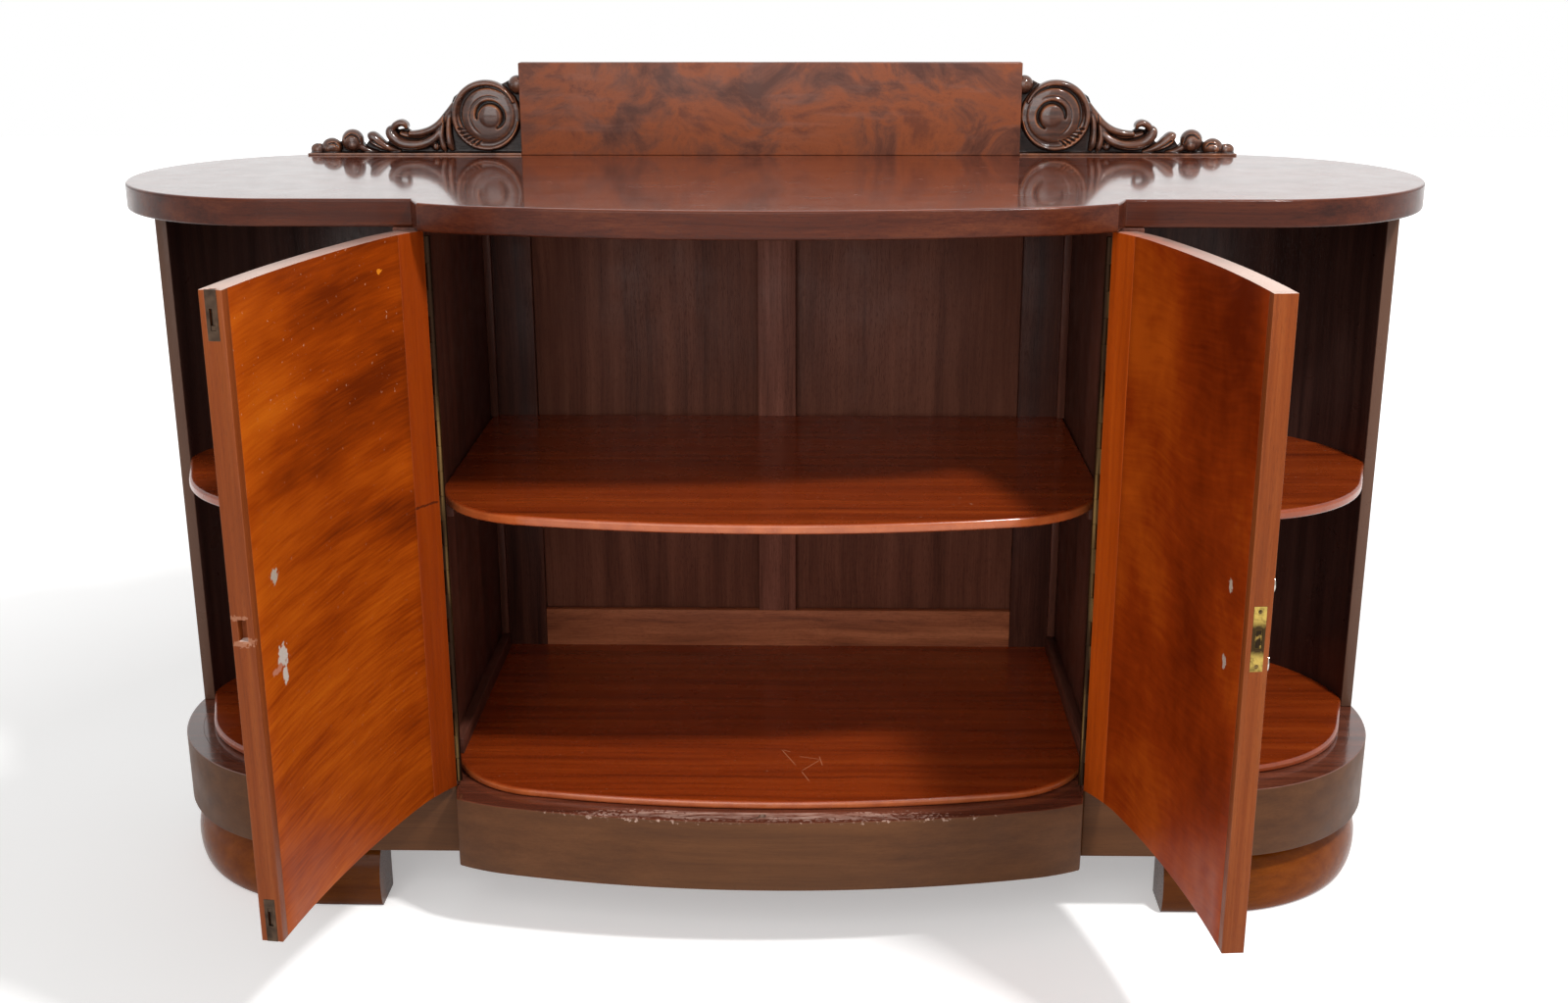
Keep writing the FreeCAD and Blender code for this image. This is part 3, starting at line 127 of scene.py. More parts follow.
class Shader(Nodes):
    """One material: a surface with its textures and masks."""

    def __init__(self, name):
        self.material = bpy.data.materials.new(name)
        self.material.use_nodes = True
        super().__init__(self.material.node_tree)
        self.nodes.clear()
        self.surface = self.add("BsdfPrincipled")
        self.output = self.add("OutputMaterial", {"Surface": self.surface.outputs["BSDF"]})
        coordinates = self.add("TexCoord")
        self.place = coordinates.outputs["Object"]
        self.x, self.y, self.z = self.axes(self.place)
        self.right, self.back, self.up = self.axes(coordinates.outputs["Normal"])

    def vectors(self, operation, first, second=(0.0, 0.0, 0.0), output="Vector"):
        return self.add("VectorMath", {0: first, 1: second}, operation=operation).outputs[output]

    def axes(self, vector):
        """The three components of a vector."""
        return list(self.add("SeparateXYZ", {0: vector}).outputs)

    def sized(self, size, turn=(0, 0, 0), shift=(0, 0, 0), place=None):
        """Position measured in units of a feature's size in metres, turned with the feature."""
        inputs = {"Vector": place or self.place, "Location": shift, "Rotation": turn, "Scale": size}
        return self.add("Mapping", inputs, vector_type="TEXTURE").outputs[0]

    def noise(self, vector, detail=3.0, roughness=0.5, distortion=0.0, output="Fac"):
        inputs = {"Vector": vector, "Scale": 1.0, "Detail": detail, "Roughness": roughness,
                  "Distortion": distortion}
        return self.add("TexNoise", inputs).outputs[output]

    def patches(self, size, detail, shift=(0, 0, 0)):
        """Even noise of one feature size."""
        return self.noise(self.sized((size, size, size), shift=shift), detail)

    def wandering(self, size, amount):
        """Position pushed about by slow noise, so that grain isn't ruled straight."""
        colour = self.noise(self.sized((size, size, size)), 2.0, output="Color")
        centred = self.vectors("SUBTRACT", colour, (0.5, 0.5, 0.5))
        pushed = self.vectors("MULTIPLY", centred, (amount, amount, amount))
        return self.vectors("ADD", self.place, pushed)

    def ramp(self, value, stops):
        node = self.add("ValToRGB", {0: value})
        points = node.color_ramp.elements
        while len(points) < len(stops):
            points.new(1.0)
        for point, (position, colour) in zip(points, stops):
            point.position = position
            point.color = colour
        return node.outputs[0]

    def mix(self, factor, first, second, blend="MIX"):
        """Two colours mixed, by the sockets that this node keeps for colours."""
        inputs = {0: factor, 6: first, 7: second}
        return self.add("Mix", inputs, data_type="RGBA", blend_type=blend).outputs[2]

    def cover(self, colour, other, *shares):
        """A colour with another laid over it, by the product of the shares."""
        return self.mix(self.product(*shares), colour, other)

    def edges(self, radius):
        """1 along the piece's own edges and 0 on its flats."""
        rounded = self.add("Bevel", {"Radius": radius}, samples=4).outputs[0]
        normal = self.add("NewGeometry").outputs["Normal"]
        likeness = self.vectors("DOT_PRODUCT", rounded, normal, output="Value")
        return self.span(likeness, 0.99, 0.88)

    def upward(self):
        """1 on faces that look up and 0 on upright ones."""
        return self.span(self.up, 0.6, 0.9)

    def near(self, centre, reach):
        """1 at a point, falling to 0 at a distance of reach."""
        away = self.vectors("DISTANCE", self.place, centre, output="Value")
        return self.span(away, 0.0, reach, 1.0, 0.0)

    def spot(self, centre, half, ragged, grain=5 * MM):
        """1 in a patch of a given half size round a point, both in mm, with a ragged rim."""
        scaled = self.sized(metres(*half), shift=metres(*centre))
        away = self.vectors("LENGTH", scaled, output="Value")
        rim = self.span(self.patches(grain, 3.0), 0.3, 0.7, -ragged, ragged)
        return self.span(self.total(away, rim), 1.0, 0.75)

    def stroke(self, start, end, width):
        """1 along a straight scratch on a level surface."""
        run = Vector(end) - Vector(start)
        middle = (Vector(start) + Vector(end)) / 2
        half = (run.length / 2, width / 2, STROKE_DEPTH)
        turned = self.sized(half, (0, 0, math.atan2(run.y, run.x)), middle)
        along, across, above = self.axes(self.vectors("ABSOLUTE", turned))
        ends = self.span(along, 1.0, 0.7)
        sides = self.span(across, 1.0, 0.3)
        level = self.span(above, 1.0, 0.9)
        return self.product(ends, sides, level)

    def bump(self, height, relief):
        """A raised surface, with its relief in mm."""
        self.set(normal=self.add("Bump", {"Distance": relief * MM, "Height": height}).outputs[0])

    def set(self, **values):
        """Values on the surface's own sockets, by their names with _ for spaces."""
        for key, value in values.items():
            name = SHORT_NAMES.get(key, key.replace("_", " ").title())
            self.feed(self.surface.inputs[name], value)


# Wood

PORE_WIDTH = 0.55 * MM
PORE_LENGTH = 9 * MM
WAVE_SIZE = 170 * MM
CLOUD_SIZE = 210 * MM
SMUDGE_SIZE = 35 * MM
CLUSTER_SIZE = 90 * MM
RUBBED_SIZE = 30 * MM
LINES_PER_BAND = 9
LINES_PER_LENGTH = 3
LINE_SHARE = 0.32
TONE_REACH = 0.17
PORE_TONE = 0.45
PALE_NICK = tint(200, 150, 120)


class Grain:
    """One kind of wood figure: colours as they show on screen, and sizes in millimetres."""

    def __init__(self, pale, middle, dark, band=14, length=420, wave=12, contrast=1.0, pores=0.5,
                 clouds=0.3):
        self.pale, self.middle, self.dark = (tint(*colour) for colour in (pale, middle, dark))
        self.hollow = (*(PORE_TONE * channel for channel in self.dark[:3]), 1.0)
        self.band = band * MM
        self.length = length * MM
        self.wave = wave * MM
        self.reach = TONE_REACH / contrast
        self.pores = pores
        self.clouds = clouds


def stretched(along, across, length):
    """A feature's size, with its length along one axis."""
    return tuple(length if axis == along else across for axis in "XYZ")


def grain_colour(shader, grain, along):
    """Streaks, fine lines, pores and slow clouds of a wood, as a colour and a height."""
    place = shader.wandering(WAVE_SIZE, grain.wave)
    broad = stretched(along, grain.band, grain.length)
    fine = stretched(along, grain.band / LINES_PER_BAND, grain.length / LINES_PER_LENGTH)
    pore = stretched(along, PORE_WIDTH, PORE_LENGTH)
    streak = shader.noise(shader.sized(broad, place=place), 4.0, 0.55)
    line = shader.noise(shader.sized(fine, place=place), 3.0, 0.6)
    speck = shader.noise(shader.sized(pore, place=place), 1.0)
    tone = shader.total(shader.product(streak, 1 - LINE_SHARE), shader.product(line, LINE_SHARE))
    stops = ((0.5 - grain.reach, grain.dark), (0.5, grain.middle), (0.5 + grain.reach, grain.pale))
    colour = shader.ramp(tone, stops)
    open_pore = shader.span(speck, 0.58, 0.72, 0.0, grain.pores)
    colour = shader.mix(open_pore, colour, grain.hollow)
    cloud = shader.span(shader.patches(CLOUD_SIZE, 2.0), 0.35, 0.75, 0.0, grain.clouds)
    colour = shader.mix(cloud, colour, grain.dark)
    height = shader.maths("SUBTRACT", shader.product(line, 0.4), open_pore)
    return colour, height


def scuffed(shader, colour, pale, amount, size=7 * MM):
    """Small pale nicks scattered over a surface, in clusters."""
    nick = shader.span(shader.patches(size, 4.0), 0.68, 0.74)
    cluster = shader.span(shader.patches(CLUSTER_SIZE, 2.0, (0.3, 0.1, 0.7)), 0.5, 0.62)
    return shader.cover(colour, pale, nick, cluster, amount)


def worn_edges(shader, colour, pale, amount, radius=2.2 * MM):
    """Edges rubbed paler, more in some places than in others."""
    rubbed = shader.span(shader.patches(RUBBED_SIZE, 4.0, (0.5, 0.2, 0.4)), 0.35, 0.65, 0.25, 1.0)
    return shader.cover(colour, pale, shader.edges(radius), rubbed, amount)


def lacquer(shader, colour, height, rough, specular, coat=0.0, coat_roughness=0.12, relief=0.2):
    """Finish a wood surface with colour, uneven gloss and relief, and give its material."""
    smudge = shader.patches(SMUDGE_SIZE, 5.0, (0.9, 0.4, 0.2))
    shader.set(base_color=colour, roughness=shader.span(smudge, 0.3, 0.7, *rough), specular=specular)
    shader.set(coat_weight=coat, coat_roughness=coat_roughness)
    shader.bump(height, relief)
    return shader.material


def wood(name, grain, along, rough, wear, nicks=0.4, specular=0.25, coat=0.0):
    """A plain wooden material with its grain along one axis."""
    shader = Shader(name)
    colour, height = grain_colour(shader, grain, along)
    colour = scuffed(shader, colour, grain.pale, nicks)
    colour = worn_edges(shader, colour, grain.pale, wear)
    return lacquer(shader, colour, height, rough, specular, coat)


# Kinds of wood on the piece

TOP = Grain((132, 64, 34), (106, 46, 25), (68, 28, 16), band=18, length=700, clouds=0.3)
CARVED = Grain((96, 58, 42), (72, 43, 32), (42, 25, 20), band=5, length=60, wave=8)
INTERIOR = Grain((118, 72, 56), (93, 54, 42), (58, 33, 26), band=15, length=500, clouds=0.4)
BACK_STILE = Grain((98, 58, 44), (76, 42, 32), (46, 25, 20), band=15, length=500, clouds=0.4)
BACK = Grain((138, 86, 66), (114, 68, 52), (78, 45, 34), band=20, length=460, contrast=0.8,
             clouds=0.45)
MUNTIN = Grain((154, 98, 80), (130, 80, 64), (90, 53, 42), band=12, length=460, clouds=0.3)
BACK_RAIL = Grain((200, 122, 82), (172, 100, 66), (122, 68, 46), band=16, length=300, wave=30,
                  clouds=0.3)
SHELF = Grain((160, 67, 20), (138, 51, 12), (104, 35, 8), band=13, length=520, clouds=0.15)
END = Grain((92, 62, 52), (70, 46, 40), (44, 29, 26), band=14, contrast=0.8, clouds=0.4)
PLINTH = Grain((104, 66, 39), (90, 56, 32), (71, 43, 26), band=16, length=380, contrast=0.7,
               clouds=0.3, pores=0.25)
LEDGE = Grain((134, 74, 52), (106, 55, 38), (68, 34, 24), band=14, clouds=0.35)
FOOT = Grain((136, 70, 16), (118, 57, 10), (94, 41, 7), band=12, length=300, contrast=0.7,
             pores=0.25, clouds=0.15)
SOFTWOOD = Grain((150, 116, 82), (124, 90, 60), (84, 58, 38), band=9, length=380, pores=0.2)
DOOR_OUTSIDE = Grain((136, 74, 44), (104, 50, 32), (58, 26, 18), band=26, length=520, wave=50,
                     contrast=1.1, clouds=0.4)
STILE = Grain((160, 68, 14), (144, 56, 9), (118, 42, 6), band=9, length=420, wave=8, contrast=0.7,
              pores=0.3)
LIPPING = Grain((146, 78, 36), (126, 60, 24), (102, 46, 18), band=8, length=360, wave=5,
                contrast=0.7, pores=0.3, clouds=0.2)


SHELF_EDGE = tint(184, 98, 50)
SIDE_EDGE = tint(152, 68, 26)
FLOOR_TOP = 180
FLOOR_SCRATCHES = (((12, 42), (31, -4)), ((33, 22), (60, 14)), ((60, 14), (37, -18)),
                   ((37, -18), (47, -46)), ((58, 24), (62, -4)), ((14, 40), (24, 34)))


def shelf_wood():
    """Shelf boards: grain from end to end on top, paler worn wood on the rounded front edge."""
    shader = Shader("shelf_board")
    colour, height = grain_colour(shader, SHELF, "X")
    upright = shader.span(shader.maths("ABSOLUTE", shader.up), 0.9, 0.4)
    rubbed = shader.span(shader.patches(20 * MM, 4.0), 0.3, 0.7, 0.45, 0.95)
    colour = scuffed(shader, colour, PALE_NICK, 0.5, 5 * MM)
    for start, end in FLOOR_SCRATCHES:
        mark = shader.stroke(metres(*start, FLOOR_TOP), metres(*end, FLOOR_TOP), 1.5 * MM)
        colour = shader.cover(colour, tint(206, 142, 104), mark, 0.6)
    outer = shader.span(shader.maths("ABSOLUTE", shader.x), 0.38, 0.40)
    colour = shader.cover(colour, shader.mix(outer, SHELF_EDGE, SIDE_EDGE), upright, rubbed)
    return lacquer(shader, colour, height, (0.2, 0.34), specular=0.35, coat=0.45, coat_roughness=0.1,
                   relief=0.048)


TOP_LEVEL = 852
# Painted shade for the upright edges of the top.
TOP_EDGE_SHADE = (0.55, 0.62, 0.72, 1.0)
SCRATCHED = (((-300, 90), 110), ((45, 30), 75), ((-20, -90), 70), ((-230, 40), 60))
SCRATCHED_ELSEWHERE = 0.04
SCRATCH_TURNS = (0.25, -0.4, 1.1)
SCRATCH_SIZE = metres(50, 1.6, 50)


def polished_top():
    """The top: deep red-brown polish with fine scratches, a rubbed edge and painted shade on its upright
    edges.
    """
    shader = Shader("polished_top")
    colour, height = grain_colour(shader, TOP, "X")
    zones = [shader.near(metres(*place, TOP_LEVEL), reach * MM) for place, reach in SCRATCHED]
    strokes = [shader.noise(shader.sized(SCRATCH_SIZE, (0, 0, turn)), 2.0) for turn in SCRATCH_TURNS]
    marks = shader.total(*(shader.span(stroke, 0.66, 0.72) for stroke in strokes))
    marked = shader.product(marks, shader.total(SCRATCHED_ELSEWHERE, *zones), shader.upward(), 0.7)
    colour = shader.mix(shader.maths("MINIMUM", marked, 1.0), colour, tint(206, 160, 136))
    colour = worn_edges(shader, colour, tint(140, 92, 70), 0.35, 2.5 * MM)
    # Painted shade: the upright edges darkened, as light from above falls less on them.
    upright = shader.maths("SUBTRACT", 1.0, shader.upward())
    colour = shader.mix(upright, colour, TOP_EDGE_SHADE, "MULTIPLY")
    polish = shader.span(shader.up, 0.6, 0.9, 0.06, 0.95)
    return lacquer(shader, colour, height, (0.16, 0.28), specular=0.15, coat=polish, coat_roughness=0.07,
                   relief=0.12)


BURR_SIZE = metres(100, 80, 75)
BURR_RINGS = 11.0
BURR_STOPS = ((0.38, tint(80, 47, 37)), (0.47, tint(106, 62, 46)), (0.55, tint(132, 71, 43)),
              (0.64, tint(104, 57, 40)))
HAZE_SIZE = metres(90, 50, 12)


def figured_panel():
    """Burr veneer: cloudy orange and brown patches with faint growth lines, under polish."""
    shader = Shader("burr_veneer")
    swirl = shader.noise(shader.sized(BURR_SIZE, place=shader.wandering(0.16, 0.12)), 8.0, 0.68, 0.5)
    colour = shader.ramp(swirl, BURR_STOPS)
    ringed = shader.maths("PINGPONG", shader.product(swirl, BURR_RINGS), 0.5)
    where = shader.span(shader.patches(0.11, 2.0, (0.2, 0.5, 0.1)), 0.48, 0.66, 0.0, 0.2)
    line = shader.span(ringed, 0.0, 0.22, 1.0, 0.0)
    colour = shader.cover(colour, tint(70, 36, 26), line, where)
    speck = shader.span(shader.patches(2.2 * MM, 2.0), 0.60, 0.74, 0.0, 0.35)
    colour = shader.mix(speck, colour, tint(74, 40, 30))
    haze = shader.span(shader.noise(shader.sized(HAZE_SIZE)), 0.56, 0.74, 0.0, 0.12)
    colour = shader.mix(haze, colour, tint(150, 116, 108))
    colour = worn_edges(shader, colour, tint(168, 110, 84), 0.8, 1.8 * MM)
    return lacquer(shader, colour, speck, (0.3, 0.46), specular=0.2, relief=0.12)


GROUND_DEPTH = 9 * MM
GROUND_FADE = 2 * MM


def carved_wood():
    """Carving: painted shade in the creases and on the ground behind it, rubbed to red-brown where it
    stands out.
    """
    shader = Shader("carved_wood")
    colour, height = grain_colour(shader, CARVED, "X")
    pointed = shader.add("NewGeometry").outputs["Pointiness"]
    proud = shader.span(pointed, 0.50, 0.56)
    patch = shader.span(shader.patches(22 * MM, 4.0), 0.38, 0.62, 0.1, 1.0)
    colour = shader.cover(colour, tint(176, 106, 62), proud, patch, 0.85)
    # Painted shade: nearly black in the creases of the carving.
    hollow = shader.span(pointed, 0.495, 0.44, 0.0, 0.9)
    colour = shader.mix(hollow, colour, tint(16, 9, 8))
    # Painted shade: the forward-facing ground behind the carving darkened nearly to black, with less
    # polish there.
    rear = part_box("upstand_panel")[1].y
    depth = shader.maths("SUBTRACT", rear, shader.y)
    shaded_ground = shader.span(depth, GROUND_DEPTH + GROUND_FADE, GROUND_DEPTH)
    front = shader.span(shader.back, 0.5, 0.0)
    colour = shader.cover(colour, tint(18, 11, 9), shaded_ground, front, 0.8)
    polish = shader.span(shaded_ground, 0.0, 1.0, 0.7, 0.0)
    return lacquer(shader, colour, height, (0.14, 0.26), specular=0.2, coat=polish, coat_roughness=0.08)


# Doors

# Painted reflection: the pale colour of the doors' upward edges, as if they mirrored the sky.
DOOR_TOP_REFLECTION = tint(214, 190, 178)
FILLER = tint(186, 174, 164)
DOOR_SPOTS = {
    "left": (((-461, -343, 536), (20, 8, 9), tint(166, 150, 134)),
             ((-460.4, -340, 453), (20, 10, 13), FILLER),
             ((-460.2, -338, 433), (20, 5.5, 11), FILLER),
             ((-460.4, -351, 444), (20, 12, 4.5), tint(176, 112, 88)),
             ((-399, -110, 787), (20, 4, 3), tint(204, 120, 28))),
    "right": (((444, -345.6, 533), (20, 5, 8), tint(184, 166, 150)),
              ((443.5, -342.8, 455.5), (20, 6, 8), tint(178, 158, 146))),
}


def streaks(shader, turn, place, length, width):
    """Noise drawn out along a door's width."""
    return shader.noise(shader.sized((0.6, length, width), (turn, 0, 0), place=place))


def swing(shader, noise, amount):
    """Noise that swings about zero."""
    return shader.product(shader.maths("SUBTRACT", noise, 0.5), amount)


LEFT_STOPS = ((0.36, tint(98, 33, 4)), (0.46, tint(136, 52, 5)), (0.54, tint(160, 69, 9)),
              (0.66, tint(182, 89, 15)))
RIGHT_STOPS = ((0.34, tint(96, 27, 2)), (0.5, tint(136, 47, 7)), (0.66, tint(172, 74, 14)))


def left_figure(shader):
    """Broad dark bands and long orange streaks that rise a little towards the hinge."""
    turn = math.radians(5)
    place = shader.wandering(0.42, 0.03)
    broad = streaks(shader, turn / 2, shader.wandering(0.20, 0.03), 0.24, 0.075)
    middle = streaks(shader, turn, place, 0.22, 0.021)
    fine = streaks(shader, turn, place, 0.045, 0.0026)
    falling = shader.span(shader.z, 0.30, 0.66, 0.53, 0.445)
    fading = shader.span(shader.y, -0.36, -0.08, 0.035, -0.045)
    bands = swing(shader, broad, shader.span(shader.z, 0.38, 0.62, 0.34, 0.52))
    fibres = swing(shader, fine, shader.span(shader.z, 0.38, 0.62, 0.24, 0.14))
    threads = swing(shader, middle, 0.18)
    tone = shader.total(falling, fading, bands, fibres, threads)
    return shader.ramp(tone, LEFT_STOPS), fine


def right_figure(shader):
    """Quiet deep red-brown with slow changes of tone."""
    turn = math.radians(-3)
    place = shader.wandering(0.3, 0.1)
    broad = shader.product(streaks(shader, turn, place, 0.16, 0.22), 0.74)
    fine = streaks(shader, turn, place, 0.05, 0.004)
    mottle = shader.product(shader.patches(16 * MM, 5.0), 0.12)
    rising = shader.span(shader.y, -0.37, -0.10, -0.05, 0.04)
    tone = shader.total(broad, shader.product(fine, 0.14), mottle, rising)
    return shader.ramp(tone, RIGHT_STOPS), fine


FIGURES = {"left": left_figure, "right": right_figure}
NICKS = {"left": 0.7, "right": 0.0}
NICK_LEVEL = {"left": (0.60, 0.76), "right": (0.10, 0.20)}


def door_inside(shader, side):
    """1 on the faces that look into the cupboard when the door is shut."""
    return shader.span(shader.product(shader.right, -SIDES[side]), -0.1, 0.1)


def door_veneer(side):
    """A door panel: figured wood inside, polished red-brown outside, pale rubbed edges and a painted
    reflection along its top edge.
    """
    shader = Shader(f"door_veneer_{side}")
    inner, height = FIGURES[side](shader)
    outer = grain_colour(shader, DOOR_OUTSIDE, "Z")[0]
    high = shader.span(shader.z, *NICK_LEVEL[side], 0.25, 1.0)
    nick = shader.span(shader.patches(5 * MM, 4.0), 0.69, 0.74)
    inner = shader.cover(inner, PALE_NICK, nick, high, NICKS[side])
    colour = shader.mix(door_inside(shader, side), outer, inner)
    for centre, half, pale in DOOR_SPOTS[side]:
        colour = shader.mix(shader.spot(centre, half, 0.4), colour, pale)
    colour = worn_edges(shader, colour, tint(176, 112, 76), 0.4, 1.4 * MM)
    # Painted reflection on the upward edge, stronger towards the free end.
    reflection_share = shader.span(shader.y, -0.30, -0.11, 0.85, 0.25)
    colour = shader.cover(colour, DOOR_TOP_REFLECTION, shader.upward(), reflection_share)
    return lacquer(shader, colour, height, (0.32, 0.46), specular=0.05, relief=0.12)


STILE_CRACK = ((-380, -69.8, 520), (40, 40, 1.6))
# Painted light and shade: the right stile's inside brightened and the left one's darkened a little,
# standing in for the uneven light on the two doors.
STILE_PAINTED_LIGHT = {"left": (0.85, 0.82, 0.8, 1.0), "right": (1.5, 1.6, 1.5, 1.0)}


def door_stile(side):
    """Hinge stile: bright straight grain inside, veneered outside, the left one with an old crack."""
    shader = Shader(f"door_stile_{side}")
    inner, height = grain_colour(shader, STILE, "Z")
    # Painted light or shade by side, over the stile's own grain.
    inner = shader.mix(1.0, inner, STILE_PAINTED_LIGHT[side], "MULTIPLY")
    outer = grain_colour(shader, DOOR_OUTSIDE, "Z")[0]
    colour = shader.mix(door_inside(shader, side), outer, inner)
    crack = shader.spot(*STILE_CRACK, 0.5)
    colour = shader.cover(colour, tint(58, 20, 8), crack, 0.75)
    colour = worn_edges(shader, colour, tint(190, 108, 54), 0.4, 1.4 * MM)
    # Painted reflection on the stile's upward edge.
    colour = shader.cover(colour, DOOR_TOP_REFLECTION, shader.upward(), 0.25)
    return lacquer(shader, colour, height, (0.28, 0.42), specular=0.11)


CHIPPED = (((-484, -391, 511.5), (10, 5, 2.6)), ((-482, -391, 486), (11, 5, 3.2)),
           ((-473, -390, 489), (6, 5, 4)))


def door_lipping():
    """Edge lipping: pinkish brown, with pale chips round the strike notch."""
    shader = Shader("door_lipping")
    colour, height = grain_colour(shader, LIPPING, "Z")
    colour = worn_edges(shader, colour, tint(184, 118, 80), 0.4, 1.6 * MM)
    for centre, half in CHIPPED:
        chip = shader.spot(centre, half, 0.6, 3 * MM)
        colour = shader.cover(colour, tint(190, 138, 110), chip, 0.4)
    # Painted reflection on the lipping's upward edge.
    colour = shader.cover(colour, DOOR_TOP_REFLECTION, shader.upward(), 0.85)
    return lacquer(shader, colour, height, (0.32, 0.48), specular=0.12)


# Plinth

LEDGE_SCUFF = ((-10, -112, 170), (210, 14, 6))
SCUFF_SIZE = metres(34, 5, 34)


def plinth_wood():
    """Plinth: dull grey-brown faces under a glossy dark red ledge with a scuffed front."""
    shader = Shader("plinth")
    face, height = grain_colour(shader, PLINTH, "X")
    ledge = grain_colour(shader, LEDGE, "X")[0]
    up = shader.upward()
    upright = shader.maths("SUBTRACT", 1.0, up)
    colour = shader.mix(up, face, ledge)
    rubbed = shader.spot(*LEDGE_SCUFF, 0.5)
    scratch = shader.span(shader.noise(shader.sized(SCUFF_SIZE), 5.0, 0.6), 0.40, 0.70)
    colour = shader.cover(colour, tint(204, 172, 156), rubbed, scratch, 0.95)
    colour = worn_edges(shader, colour, tint(140, 96, 76), 0.5)
    smudge = shader.patches(SMUDGE_SIZE, 5.0)
    dull = shader.product(shader.span(smudge, 0.3, 0.7, 0.36, 0.48), upright)
    bright = shader.product(shader.span(smudge, 0.3, 0.7, 0.14, 0.26), up)
    shader.set(base_color=colour, roughness=shader.total(dull, bright), specular=0.14)
    shader.set(coat_weight=shader.product(up, 0.9), coat_roughness=0.12)
    shader.bump(height, 0.12)
    return shader.material


# Metal

LOCK_DARK_HALF = 15 * MM
LOCK_FADE = 8 * MM
FINE_SCRATCH = metres(0.5, 0.5, 12)


def metal(name, bright, dull, tarnish, rough, size=6 * MM, rubbed=0.6, drawn=1.0):
    """Metal with patches of tarnish, rubbed bright along its edges."""
    bright, dull = tint(*bright), tint(*dull)
    shader = Shader(name)
    patch = shader.noise(shader.sized((size, size, size * drawn)), 5.0)
    covered = shader.span(patch, *tarnish)
    colour = shader.mix(covered, bright, dull)
    colour = shader.cover(colour, bright, shader.edges(0.6 * MM), rubbed)
    return finish_metal(shader, colour, covered, patch, rough, 0.03)


def finish_metal(shader, colour, covered, patch, rough, relief):
    """Finish a metal surface, rougher under tarnish and finely scratched, and give its material."""
    scratch = shader.noise(shader.sized(FINE_SCRATCH), 2.0)
    shader.set(base_color=colour, metallic=1.0, roughness=shader.span(covered, 0.0, 1.0, *rough))
    shader.bump(shader.total(patch, scratch), relief)
    return shader.material


def lock_brass():
    """Lock plate: yellow brass at both ends, black with handling round the bolt's mouth."""
    shader = Shader("lock_brass")
    low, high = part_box("lock_face_plate")
    middle = (low.z + high.z) / 2
    away = shader.maths("ABSOLUTE", shader.maths("SUBTRACT", shader.z, middle))
    patch = shader.patches(5 * MM, 5.0)
    ragged = shader.total(away, shader.product(patch, LOCK_FADE))
    worn = shader.span(ragged, LOCK_DARK_HALF, LOCK_DARK_HALF + LOCK_FADE, 1.0, 0.0)
    covered = shader.maths("MAXIMUM", worn, shader.span(patch, 0.45, 0.75, 0.0, 0.8))
    colour = shader.mix(covered, tint(172, 146, 76), tint(62, 48, 30))
    return finish_metal(shader, colour, covered, patch, (0.3, 0.55), 0.04)


# Plain woods of the carcass

FOOT_RUN_TONE = (0.5, 0.55, 0.7, 1.0)
RAIL_REAR_TONE = (0.34, 0.36, 0.4, 1.0)


def end_veneer():
    """Bent end panels: dark polished faces and a paler front edge."""
    shader = Shader("end_veneer")
    colour, height = grain_colour(shader, END, "Z")
    front = shader.span(shader.back, -0.7, -0.9)
    forward = shader.span(shader.y, 0.24, 0.22)
    colour = shader.cover(colour, tint(104, 74, 58), front, forward, 0.8)
    colour = scuffed(shader, colour, tint(140, 104, 84), 0.25)
    colour = worn_edges(shader, colour, tint(140, 104, 84), 0.5)
    return lacquer(shader, colour, height, (0.26, 0.4), specular=0.2)


def foot_wood():
    """Front feet: glossy orange-brown round the ends, darker along the straight run."""
    shader = Shader("foot")
    colour, height = grain_colour(shader, FOOT, "X")
    inner = shader.span(shader.maths("ABSOLUTE", shader.x), 0.60, 0.52)
    colour = shader.mix(inner, colour, FOOT_RUN_TONE, "MULTIPLY")
    colour = scuffed(shader, colour, tint(160, 96, 50), 0.2)
    return lacquer(shader, colour, height, (0.12, 0.2), specular=0.08)


def back_rail():
    """Rails of the back: paler inside the cupboard than on the rear."""
    shader = Shader("back_rail")
    colour, height = grain_colour(shader, BACK_RAIL, "X")
    rear = shader.span(shader.back, 0.0, 0.5)
    colour = shader.mix(rear, colour, RAIL_REAR_TONE, "MULTIPLY")
    colour = scuffed(shader, colour, BACK_RAIL.pale, 0.3)
    return lacquer(shader, colour, height, (0.32, 0.5), specular=0.12)


